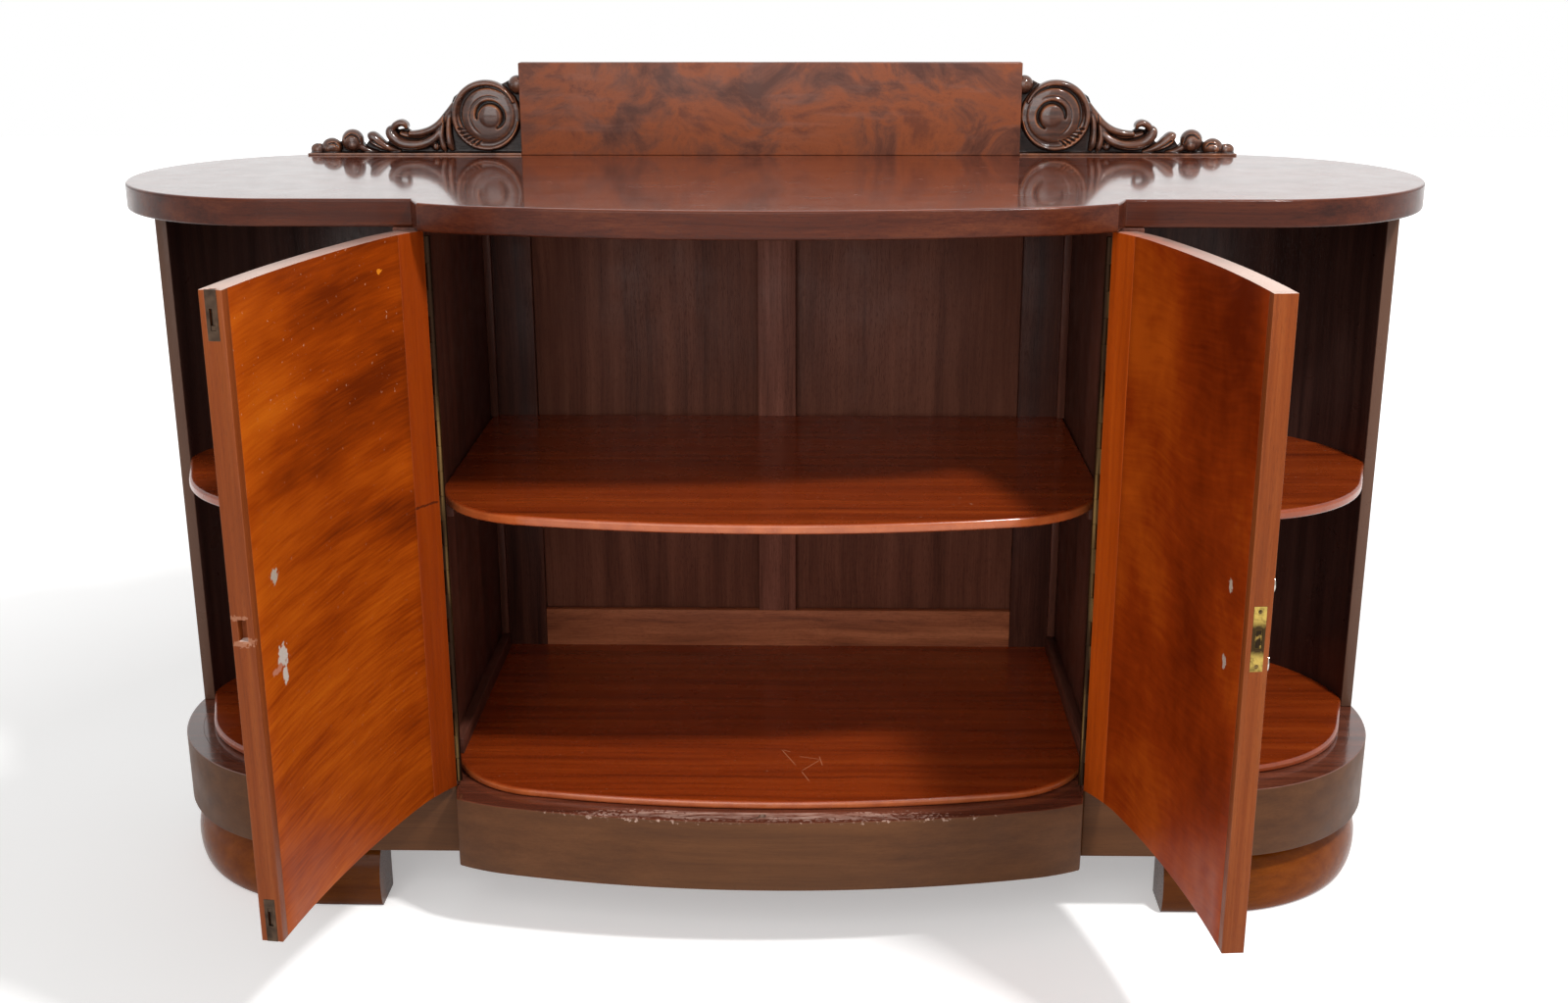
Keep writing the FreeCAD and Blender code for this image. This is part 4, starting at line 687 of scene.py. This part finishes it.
def make_finishes():
    """All the finishes but those of door panels and stiles, which differ by side."""
    plain = {"rough": (0.3, 0.46), "wear": 0.2, "specular": 0.12}
    return {
        "upright": wood("carcass_upright", INTERIOR, "Z", (0.3, 0.46), 0.35, specular=0.15),
        "bearer": wood("carcass_rail", INTERIOR, "Y", (0.32, 0.5), 0.4, specular=0.15),
        "back": wood("back_upright", BACK, "Z", **plain),
        "stile": wood("back_stile", BACK_STILE, "Z", **plain),
        "muntin": wood("back_muntin", MUNTIN, "Z", **plain),
        "ledge": wood("ledge", LEDGE, "X", (0.14, 0.26), 0.3, 0.3, specular=0.14, coat=0.9),
        "softwood": wood("softwood", SOFTWOOD, "X", (0.55, 0.75), 0.3, 0.7),
        "top": polished_top(),
        "burr": figured_panel(),
        "shelf": shelf_wood(),
        "carved": carved_wood(),
        "plinth": plinth_wood(),
        "lipping": door_lipping(),
        "end": end_veneer(),
        "foot": foot_wood(),
        "rail": back_rail(),
        "lock": lock_brass(),
        "hinge": metal("hinge_brass", (112, 88, 52), (44, 31, 22), (0.34, 0.52), (0.36, 0.55),
                       rubbed=0.12, drawn=30.0),
        "screw": metal("screw_brass", (128, 104, 62), (40, 32, 24), (0.32, 0.55), (0.32, 0.5)),
        "bolt": metal("bolt_brass", (170, 138, 70), (44, 34, 24), (0.3, 0.5), (0.3, 0.5)),
        "plated": metal("worn_plating", (188, 182, 172), (120, 112, 102), (0.45, 0.7), (0.2, 0.42)),
        "iron": metal("dark_iron", (92, 74, 60), (48, 38, 32), (0.3, 0.7), (0.45, 0.65),
                      size=14 * MM, rubbed=0.3),
    }


def paint(piece, material):
    """One material over a whole piece."""
    piece.data.materials.clear()
    piece.data.materials.append(material)


# Meshes and the objects that hold them

CORNER = math.radians(32)


def add_object(name, data):
    """A new object in the scene."""
    made = bpy.data.objects.new(name, data)
    bpy.context.scene.collection.objects.link(made)
    return made


def baked(shape, name):
    """A mesh of a working shape, which is then let go."""
    mesh = bpy.data.meshes.new(name)
    shape.to_mesh(mesh)
    shape.free()
    return mesh


def smooth(mesh):
    for face in mesh.polygons:
        face.use_smooth = True


def finished_mesh(shape, name):
    """A mesh of a working shape, smooth but for its corners."""
    bmesh.ops.recalc_face_normals(shape, faces=shape.faces)
    mesh = baked(shape, name)
    smooth(mesh)
    mesh.set_sharp_from_angle(angle=CORNER)
    return mesh


def new_piece(mesh, name):
    """An object for a mesh, which stands for a node, with its body."""
    piece = add_object(mesh.name, mesh)
    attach(piece, BODY_OF[name])
    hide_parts(name)
    return piece


def skin(shape, rings):
    """Faces along a row of rings of points, with a cap on both ends."""
    layers = [[shape.verts.new(point) for point in ring] for ring in rings]
    for near, far in zip(layers, layers[1:]):
        for corners in zip(near, near[1:] + near[:1], far[1:] + far[:1], far):
            shape.faces.new(corners)
    shape.faces.new(tuple(reversed(layers[0])))
    shape.faces.new(tuple(layers[-1]))


# Softened copies of the plain pieces

MERGE = 0.002 * MM
FLAT = math.radians(0.6)
TRUE_FLAT = math.radians(0.02)
SHORTEST = 3.0 * MM
PIECE_MIDDLE = Vector((0.0, 0.18, 0.0))


def outward(edge):
    """True for an edge of a face that looks away from the middle of the furniture."""
    middle = (edge.verts[0].co + edge.verts[1].co) / 2
    away = middle - PIECE_MIDDLE
    away.z = 0.0
    return any(abs(face.normal.z) < 0.5 and face.normal.dot(away) > 0 for face in edge.link_faces)


def softened(name, width, chosen=None, flat=FLAT):
    """A copy of a node with its long sharp edges rounded, which stands for it."""
    shape = bmesh.new()
    shape.from_mesh(NODES[name].data)
    bmesh.ops.remove_doubles(shape, verts=shape.verts, dist=MERGE)
    bmesh.ops.dissolve_limit(shape, angle_limit=flat, verts=shape.verts, edges=shape.edges)
    sharp = [edge for edge in shape.edges
             if edge.is_manifold and edge.calc_face_angle() > CORNER and edge.calc_length() > SHORTEST]
    if chosen:
        sharp = [edge for edge in sharp if chosen(edge)]
    bmesh.ops.bevel(shape, geom=sharp, offset=width * MM, offset_type="OFFSET", segments=2,
                    profile=0.5, affect="EDGES", clamp_overlap=True)
    return new_piece(finished_mesh(shape, f"{name}_finished"), name)


# Front feet, each a half-round roll swept round the end of the piece

QUARTER = math.pi / 2
FOOT_WIDTH = 60 * MM
ROLL_MIDDLE = 32 * MM
ROLL_CROWN = 40 * MM
ROLL_TOE = 10 * MM
ROLL_STEPS = 10
SWEEP_STEPS = 48


def roll_profile(height):
    """Inset from the outer face and level, from the toe over the roll and down the inside."""
    turned = [QUARTER * step / ROLL_STEPS for step in range(ROLL_STEPS + 1)]
    rise = height - ROLL_MIDDLE
    lower = [(ROLL_TOE * (1 - math.sin(a)), ROLL_MIDDLE * (1 - math.cos(a))) for a in turned]
    upper = [(ROLL_CROWN * (1 - math.cos(a)), ROLL_MIDDLE + rise * math.sin(a)) for a in turned]
    return lower + upper[1:] + [(FOOT_WIDTH, height), (FOOT_WIDTH, 0.0)]


def rolled_foot(side):
    """A front foot: a straight run along the front and a quarter turn round the end."""
    name = f"front_foot_{side}"
    low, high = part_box(name)
    inner, outer = sorted((abs(low.x), abs(high.x)))
    radius = high.y - low.y
    turn = outer - radius
    stations = [((inner, low.y), (0.0, -1.0))]
    for step in range(SWEEP_STEPS + 1):
        angle = QUARTER * (step / SWEEP_STEPS - 1)
        stations.append((around((turn, high.y), radius, angle), around((0.0, 0.0), 1.0, angle)))
    rings = []
    for (x, y), (right, back) in stations:
        rings.append([(SIDES[side] * (x - inset * right), y - inset * back, level)
                      for inset, level in roll_profile(high.z)])
    shape = bmesh.new()
    skin(shape, rings)
    return new_piece(finished_mesh(shape, f"{name}_rolled"), name)


# Carved scrolls, in mm: reach from the upstand's end, height above the top and depth from the back

VOLUTE = (44.5, 49.0)
BOSS = (42.0, 50.0)
EYE = (39.3, 48.4)
STRAND_SIDES = 16
STRAND_STEPS = 9
STRAND_SQUARE = 0.8
ROUND_STEPS = 32
DOME_STEPS = 6
DOME_TIP = 0.02
BEAD_MERIDIANS = 24
BEAD_RINGS = 14
VOXEL = 0.85 * MM
POLISH_ROUNDS = 3
LEAST_GROUND = 5.0


class Carving:
    """Closed shapes that are carved together into one scroll."""

    def __init__(self):
        self.shape = bmesh.new()
        self.grooves = []

    def strand(self, points):
        """A ridge along points of (reach, height, half width, depth of its crest)."""
        path = smooth_path(points)
        rings = []
        for index, (u, v, half, crest) in enumerate(path):
            before = path[max(index - 1, 0)]
            after = path[min(index + 1, len(path) - 1)]
            across = Vector((before[1] - after[1], after[0] - before[0])).normalized()
            ring = []
            for angle in turns(STRAND_SIDES):
                out = half * boxy(math.cos(angle))
                rise = crest * (0.5 + 0.5 * boxy(math.sin(angle)))
                ring.append((u + across.x * out, v + across.y * out, rise))
            rings.append(ring)
        skin(self.shape, rings)

    def plate(self, outline, depth):
        """A flat backing of one thickness."""
        skin(self.shape, [[(u, v, level) for u, v in outline] for level in (0.0, depth)])

    def dome(self, centre, radius, base, crest):
        """A rounded boss on the face."""
        rings = [[(*around(centre, radius, a), 0.0) for a in turns(ROUND_STEPS)]]
        for step in range(DOME_STEPS + 1):
            lift = QUARTER * step / DOME_STEPS
            size = radius * max(math.cos(lift), DOME_TIP)
            depth = base + (crest - base) * math.sin(lift)
            rings.append([(*around(centre, size, a), depth) for a in turns(ROUND_STEPS)])
        skin(self.shape, rings)

    def ball(self, centre, radius, stretch=1.0):
        """A bead that stands on the top."""
        made = bmesh.ops.create_uvsphere(self.shape, u_segments=BEAD_MERIDIANS, v_segments=BEAD_RINGS,
                                         radius=radius)
        bmesh.ops.scale(self.shape, verts=made["verts"], vec=(stretch, 1.0, 1.0))
        bmesh.ops.translate(self.shape, verts=made["verts"], vec=centre)

    def groove(self, points):
        """A cut along points of (reach, height, half width, depth of the cut)."""
        self.grooves.append(numpy.array(smooth_path(points)))


def turns(count):
    """Angles all the way round."""
    return [2 * math.pi * index / count for index in range(count)]


def boxy(value):
    """A sine or cosine pushed towards a square wave."""
    return math.copysign(abs(value) ** STRAND_SQUARE, value)


def around(centre, radius, angle):
    """A point on a circle."""
    return centre[0] + radius * math.cos(angle), centre[1] + radius * math.sin(angle)


def between(a, b, c, d, t):
    """A value on a smooth curve from b to c, which a and d bend."""
    square = 2 * a - 5 * b + 4 * c - d
    cube = 3 * b - a - 3 * c + d
    return 0.5 * (2 * b + (c - a) * t + square * t * t + cube * t ** 3)


def smooth_path(points):
    """Points on a smooth curve through control points."""
    held = [points[0]] + list(points) + [points[-1]]
    path = []
    for corners in zip(held, held[1:], held[2:], held[3:]):
        for step in range(STRAND_STEPS):
            path.append(tuple(between(*values, step / STRAND_STEPS) for values in zip(*corners)))
    path.append(tuple(points[-1]))
    return path


TAPER_START = 0.4
TAPER_RATE = 4


def spiral(centre, angles, radii, halves, depth, count):
    """Points round a centre, from one angle, radius and half width to another, with ends that taper."""
    points = []
    for index in range(count):
        share = index / (count - 1)
        angle, radius, half = (pair[0] + (pair[1] - pair[0]) * share for pair in (angles, radii, halves))
        taper = min(1.0, TAPER_START + TAPER_RATE * min(share, 1 - share))
        points.append((*around(centre, radius, math.radians(angle)), half * taper, depth))
    return points


BACKING = ((0, 0), (275, 0), (271, 6), (255, 13), (238, 13), (228, 22), (211, 23), (203, 11), (197, 20),
           (186, 22), (176, 9), (170, 25), (160, 31), (149, 33), (138, 26), (127, 27), (114, 32),
           (103, 42), (93, 56), (86, 72), (70, 84), (48, 91), (24, 88), (12, 94), (0, 96))
BACKING_DEPTH = 8.0
FOOT_RAIL = ((0, 0), (275, 0), (275, 2.6), (0, 2.6))
FOOT_RAIL_DEPTH = 23.0
FLUTES = range(-72, -26, 9)


def carve_scroll():
    """One scroll: volute, sweep, two leaves, beads and the small leaves at its foot."""
    work = Carving()
    work.plate(BACKING, BACKING_DEPTH)
    work.plate(FOOT_RAIL, FOOT_RAIL_DEPTH)
    carve_volute(work)
    for leaf in LEAVES:
        work.strand(leaf)
    for cut in LEAF_CUTS:
        work.groove(cut)
    carve_beads(work)
    return work


def carve_volute(work):
    """Disc with a broad band, a rim that thins round the foot, an eye, and flutes below."""
    work.dome(VOLUTE, 43.5, 14.0, 17.0)
    work.dome(BOSS, 34.0, 16.5, 20.5)
    work.strand(spiral(VOLUTE, (155, -170), (39.6, 41.5), (5.4, 2.4), 20.0, 30))
    work.dome(EYE, 14.6, 19.0, 22.0)
    work.ball((3.5, 88.0, 10.5), 11.5)
    work.groove(spiral(EYE, (238, -8), (17.4, 17.0), (2.8, 2.4), 10.0, 20))
    work.groove(spiral(EYE, (120, -60), (24.5, 25.5), (1.0, 0.8), 1.6, 16))
    work.groove(spiral(BOSS, (142, -26), (35.4, 35.0), (1.8, 3.2), 4.0, 20))
    for degrees in FLUTES:
        angle = math.radians(degrees)
        inner = around(VOLUTE, 31.5, angle - 0.12)
        outer = around(VOLUTE, 39.0, angle + 0.04)
        work.groove(((*inner, 0.6, 2.0), (*outer, 1.5, 6.0)))


# Sweep down from the volute, big curled leaf, second leaf and narrow ones
LEAVES = (
    ((85, 64, 3.6, 17), (95, 50.5, 4.6, 17), (106, 38.5, 4.8, 17), (118, 31, 4.6, 18),
     (132, 27, 4.4, 18), (145, 26.5, 3.4, 18)),
    ((101, 41, 2.4, 14), (107, 27, 4.6, 17), (117, 18, 5.8, 20), (130, 13.2, 6.4, 22),
     (144, 12.4, 6.6, 23), (157, 15.4, 6.8, 23), (166, 23, 7.0, 23), (168.5, 30, 6.2, 22),
     (164.5, 34.4, 3.4, 19), (160.5, 33.6, 1.2, 16)),
    ((118, 22, 5.0, 12), (132, 19, 7.0, 14), (146, 20, 8.0, 14), (158, 25, 6.0, 14)),
    ((166, 31, 4.2, 21), (161.5, 37, 4.6, 22), (154.5, 40, 4.6, 22), (148.8, 37.6, 3.8, 21),
     (147.6, 33, 2.4, 18)),
    ((157, 4.2, 1.4, 12), (168, 7, 3.8, 16), (179, 12, 6.0, 19), (187.5, 18, 7.6, 21),
     (192.5, 22, 7.4, 21), (196.6, 21, 5.4, 20)),
    ((87, 62, 1.6, 14), (92.5, 45, 3.4, 17), (94, 28, 3.8, 18), (93, 13, 4.4, 18),
     (90, 5, 2.4, 13)),
    ((96.5, 50, 1.6, 13), (102, 35, 3.2, 16), (103.6, 21, 3.6, 17), (101, 9, 4.2, 16),
     (99, 4, 2, 12)),
    ((105.5, 10, 0.8, 9), (111.5, 10, 5.4, 13.5), (117.5, 10, 0.8, 9)),
)
LEAF_CUTS = (
    ((112, 27.5, 0.8, 3), (127, 20.2, 1.5, 6), (142, 19.4, 1.7, 7), (156, 23, 1.6, 6),
     (161, 31, 0.8, 4)),
    ((120, 12.8, 0.6, 1), (138, 8.4, 1.0, 2.5), (156, 10.4, 1.0, 2.5), (168, 19, 0.6, 1)),
    ((172, 6.0, 0.6, 1), (184, 12, 1.2, 3), (191.5, 17.5, 1.6, 4)),
    ((98.3, 50, 0.8, 5), (98.6, 30, 1.3, 7), (96.8, 8, 1.2, 6)),
    ((111.5, 4.5, 0.6, 2), (111.5, 14.5, 0.9, 4)),
)


def carve_beads(work):
    """Three beads that shrink towards the tip, the first with a tail and a hollow."""
    work.strand(((186, 3.4, 1.4, 10), (197, 4.6, 3.0, 14), (206, 8.6, 4.4, 17), (211, 13, 4.4, 18)))
    work.ball((218.3, 17.8, 10.5), 14.2)
    work.ball((217.0, 12.5, 19.0), 6.4)
    work.ball((246.0, 10.0, 9.5), 10.8, 1.2)
    work.ball((249.0, 8.0, 16.5), 5.0)
    work.ball((265.5, 6.0, 7.0), 7.8, 1.15)
    work.ball((262.0, 9.5, 9.0), 4.4)
    work.groove(((207.5, 15.5, 0.8, 3), (211.5, 23.5, 1.4, 5), (219, 25.5, 1.4, 5), (226.5, 20, 0.8, 3)))
    work.groove(((236.5, 10.5, 0.7, 2), (241.5, 14.5, 1.2, 4), (248, 14, 0.8, 3)))


def press_grooves(places, grooves):
    """Push the face back along each groove, deepest in its middle."""
    for path in grooves:
        low = path[:, :2].min(axis=0) - path[:, 2].max()
        high = path[:, :2].max(axis=0) + path[:, 2].max()
        close = numpy.all((places[:, :2] > low) & (places[:, :2] < high), axis=1)
        chosen = numpy.flatnonzero(close & (places[:, 2] > LEAST_GROUND))
        gaps = numpy.linalg.norm(places[chosen, None, :2] - path[None, :, :2], axis=2)
        nearest = gaps.argmin(axis=1)
        share = numpy.clip(gaps.min(axis=1) / path[nearest, 2], 0.0, 1.0)
        cut = path[nearest, 3] * (1.0 - share ** 2)
        places[chosen, 2] = numpy.maximum(places[chosen, 2] - cut, LEAST_GROUND)


def carved_mesh():
    """The scroll's surface in its own frame: shapes joined, grooves pressed in, then polished."""
    work = carve_scroll()
    bmesh.ops.scale(work.shape, verts=work.shape.verts, vec=(MM, MM, MM))
    bmesh.ops.recalc_face_normals(work.shape, faces=work.shape.faces)
    blank = add_object("scroll_blank", baked(work.shape, "scroll_blank"))
    remesh = blank.modifiers.new("carve", "REMESH")
    remesh.mode = "VOXEL"
    remesh.voxel_size = VOXEL
    graph = bpy.context.evaluated_depsgraph_get()
    carved = bpy.data.meshes.new_from_object(blank.evaluated_get(graph))
    bpy.data.objects.remove(blank)
    places = numpy.empty(len(carved.vertices) * 3)
    carved.vertices.foreach_get("co", places)
    places = places.reshape(-1, 3) / MM
    places[:, 1:] = numpy.maximum(places[:, 1:], 0.0)
    press_grooves(places, work.grooves)
    carved.vertices.foreach_set("co", (places * MM).ravel())
    shape = bmesh.new()
    shape.from_mesh(carved)
    for step in range(POLISH_ROUNDS):
        bmesh.ops.smooth_vert(shape, verts=shape.verts, factor=0.5,
                              use_axis_x=True, use_axis_y=True, use_axis_z=True)
    shape.to_mesh(carved)
    shape.free()
    return carved


def make_scroll(side, carved):
    """Put one scroll at its end of the upstand and let it stand for its node."""
    low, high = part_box("upstand_panel")
    start = low.x if side == "left" else high.x
    mesh = carved.copy()
    mesh.name = f"scroll_{side}_carved"
    axes = Matrix(((SIDES[side], 0, 0, start), (0, 0, -1, high.y), (0, 1, 0, low.z), (0, 0, 0, 1)))
    mesh.transform(axes)
    if side == "left":
        mesh.flip_normals()
    smooth(mesh)
    return new_piece(mesh, f"scroll_{side}")


# Finish of every node, and its rounding in mm

ROUNDED = {
    ("burr", 1.2): ("upstand_panel",),
    ("upright", 0.8): ("partition_{}", "hinge_post_{}", "corner_battens"),
    ("end", 1.2): ("end_panel_{}",),
    ("bearer", 0.8): ("shelf_bearers_{}", "floor_cleats"),
    ("stile", 0.8): ("back_stile_{}",),
    ("back", 0.5): ("back_panel_{}",),
    ("muntin", 0.8): ("back_muntin",),
    ("rail", 0.8): ("back_bottom_rail", "back_top_rail"),
    ("softwood", 1.2): ("plinth_back_rail", "rear_foot_{}"),
    ("softwood", 1.0): ("foot_blocks",),
    ("lipping", 0.7): ("{}_door_lipping",),
}
KEPT = {
    "top": ("top_board",),
    "shelf": ("{}_floor", "{}_shelf", "centre_floor", "centre_shelf"),
    "ledge": ("plinth_deck",),
    "hinge": ("{}_hinge_frame_leaf", "{}_hinge_door_leaf", "{}_hinge_pin"),
    "screw": ("{}_door_screws", "hinge_frame_screws"),
    "plated": ("{}_pull",),
    "lock": ("lock_face_plate",),
    "bolt": ("lock_bolt",),
    "iron": ("lock_case", "flush_bolt_plates", "flush_bolt_top", "flush_bolt_bottom"),
}
PLINTH_ROUNDING = 1.6
DOOR_ROUNDING = 0.5


def nodes_of(patterns):
    """The nodes that patterns stand for: two where the side is left open."""
    return sorted({pattern.format(side) for pattern in patterns for side in SIDES})


def dress():
    """Give each node its finish, rounding the plain ones on the way."""
    finishes = make_finishes()
    carved = carved_mesh()
    for (finish, width), patterns in ROUNDED.items():
        for name in nodes_of(patterns):
            paint(softened(name, width), finishes[finish])
    for finish, patterns in KEPT.items():
        for name in nodes_of(patterns):
            paint(NODES[name], finishes[finish])
    for name in ("plinth_left", "plinth_bow", "plinth_right"):
        paint(softened(name, PLINTH_ROUNDING, chosen=outward), finishes["plinth"])
    for side in SIDES:
        paint(make_scroll(side, carved), finishes["carved"])
        paint(rolled_foot(side), finishes["foot"])
        paint(softened(f"{side}_door_hinge_stile", DOOR_ROUNDING, flat=TRUE_FLAT), door_stile(side))
        paint(softened(f"{side}_door_panel", DOOR_ROUNDING, flat=TRUE_FLAT), door_veneer(side))


# Studio

FLOOR_HALF = 9.0
FLOOR_LIFT = 0.34
FLOOR_FADE = (1.2, 3.4)
SKY_LEVEL = 0.44
AIM = Vector((0.0, 0.1, 0.5))
KEY = {"origin": AIM + 3.0 * Vector((0.43, -0.45, 0.78)), "size": 0.25, "power": 66.0}
FILL = {"origin": Vector((-0.6, -2.85, 1.8)), "size": 2.2, "power": 41.0}


def make_floor():
    """Plain pale floor, a little uneven, seen to fade to white away from the piece."""
    shape = bmesh.new()
    bmesh.ops.create_grid(shape, x_segments=1, y_segments=1, size=FLOOR_HALF)
    floor = add_object("floor", baked(shape, "floor"))
    shader = Shader("studio_floor")
    tone = shader.patches(0.6, 4.0)
    colour = shader.ramp(tone, ((0.3, tint(246, 245, 243)), (0.7, tint(250, 249, 248))))
    shader.set(base_color=colour, roughness=0.9, specular=0.1)
    away = shader.vectors("LENGTH", shader.place, output="Value")
    lift = shader.span(away, *FLOOR_FADE, FLOOR_LIFT, 1.0)
    glow = shader.add("Emission", {"Strength": shader.product(shader.seen(), lift)})
    both = shader.add("AddShader", {0: shader.surface.outputs[0], 1: glow.outputs[0]})
    shader.feed(shader.output.inputs["Surface"], both.outputs[0])
    paint(floor, shader.material)


def make_world():
    """White where it is seen or mirrored, softer as a light."""
    world = bpy.data.worlds.new("studio")
    bpy.context.scene.world = world
    world.use_nodes = True
    sky = Nodes(world.node_tree)
    background = sky.nodes["Background"]
    background.inputs["Color"].default_value = (1.0, 1.0, 1.0, 1.0)
    sky.feed(background.inputs["Strength"], sky.span(sky.seen(), 0.0, 1.0, SKY_LEVEL, 1.0))


def make_lamp(name, origin, size, power):
    """A square softbox pointed at the middle of the piece."""
    light = bpy.data.lights.new(name, "AREA")
    light.size = size
    light.energy = power
    lamp = add_object(name, light)
    lamp.location = origin
    lamp.rotation_euler = (AIM - origin).to_track_quat("-Z", "Y").to_euler()


# Camera, placed from the photograph

CAMERA_PLACE = Vector((0.056, -1.941, 1.1082))
CAMERA_YAW = -0.0202
CAMERA_PITCH = 0.3006
CAMERA_ROLL = 0.0016
FOCAL_PIXELS = 1830.3
IMAGE_WIDTH = 1600
SENSOR_WIDTH = 36.0


def make_camera():
    """The photograph's camera: its place, where it looks and its lens."""
    ahead = Vector((math.sin(CAMERA_YAW) * math.cos(CAMERA_PITCH),
                    math.cos(CAMERA_YAW) * math.cos(CAMERA_PITCH), -math.sin(CAMERA_PITCH)))
    level = Vector((math.cos(CAMERA_YAW), -math.sin(CAMERA_YAW), 0.0))
    fall = ahead.cross(level)
    right = math.cos(CAMERA_ROLL) * level + math.sin(CAMERA_ROLL) * fall
    down = math.cos(CAMERA_ROLL) * fall - math.sin(CAMERA_ROLL) * level
    axes = Matrix((right, -down, -ahead)).transposed().to_4x4()
    lens = bpy.data.cameras.new("camera")
    lens.sensor_fit = "HORIZONTAL"
    lens.sensor_width = SENSOR_WIDTH
    lens.lens = FOCAL_PIXELS / IMAGE_WIDTH * SENSOR_WIDTH
    camera = add_object("camera", lens)
    camera.matrix_world = Matrix.Translation(CAMERA_PLACE) @ axes
    bpy.context.scene.camera = camera


dress()
make_floor()
make_world()
make_lamp("key", **KEY)
make_lamp("fill", **FILL)
make_camera()
bpy.context.scene.view_settings.view_transform = "Standard"
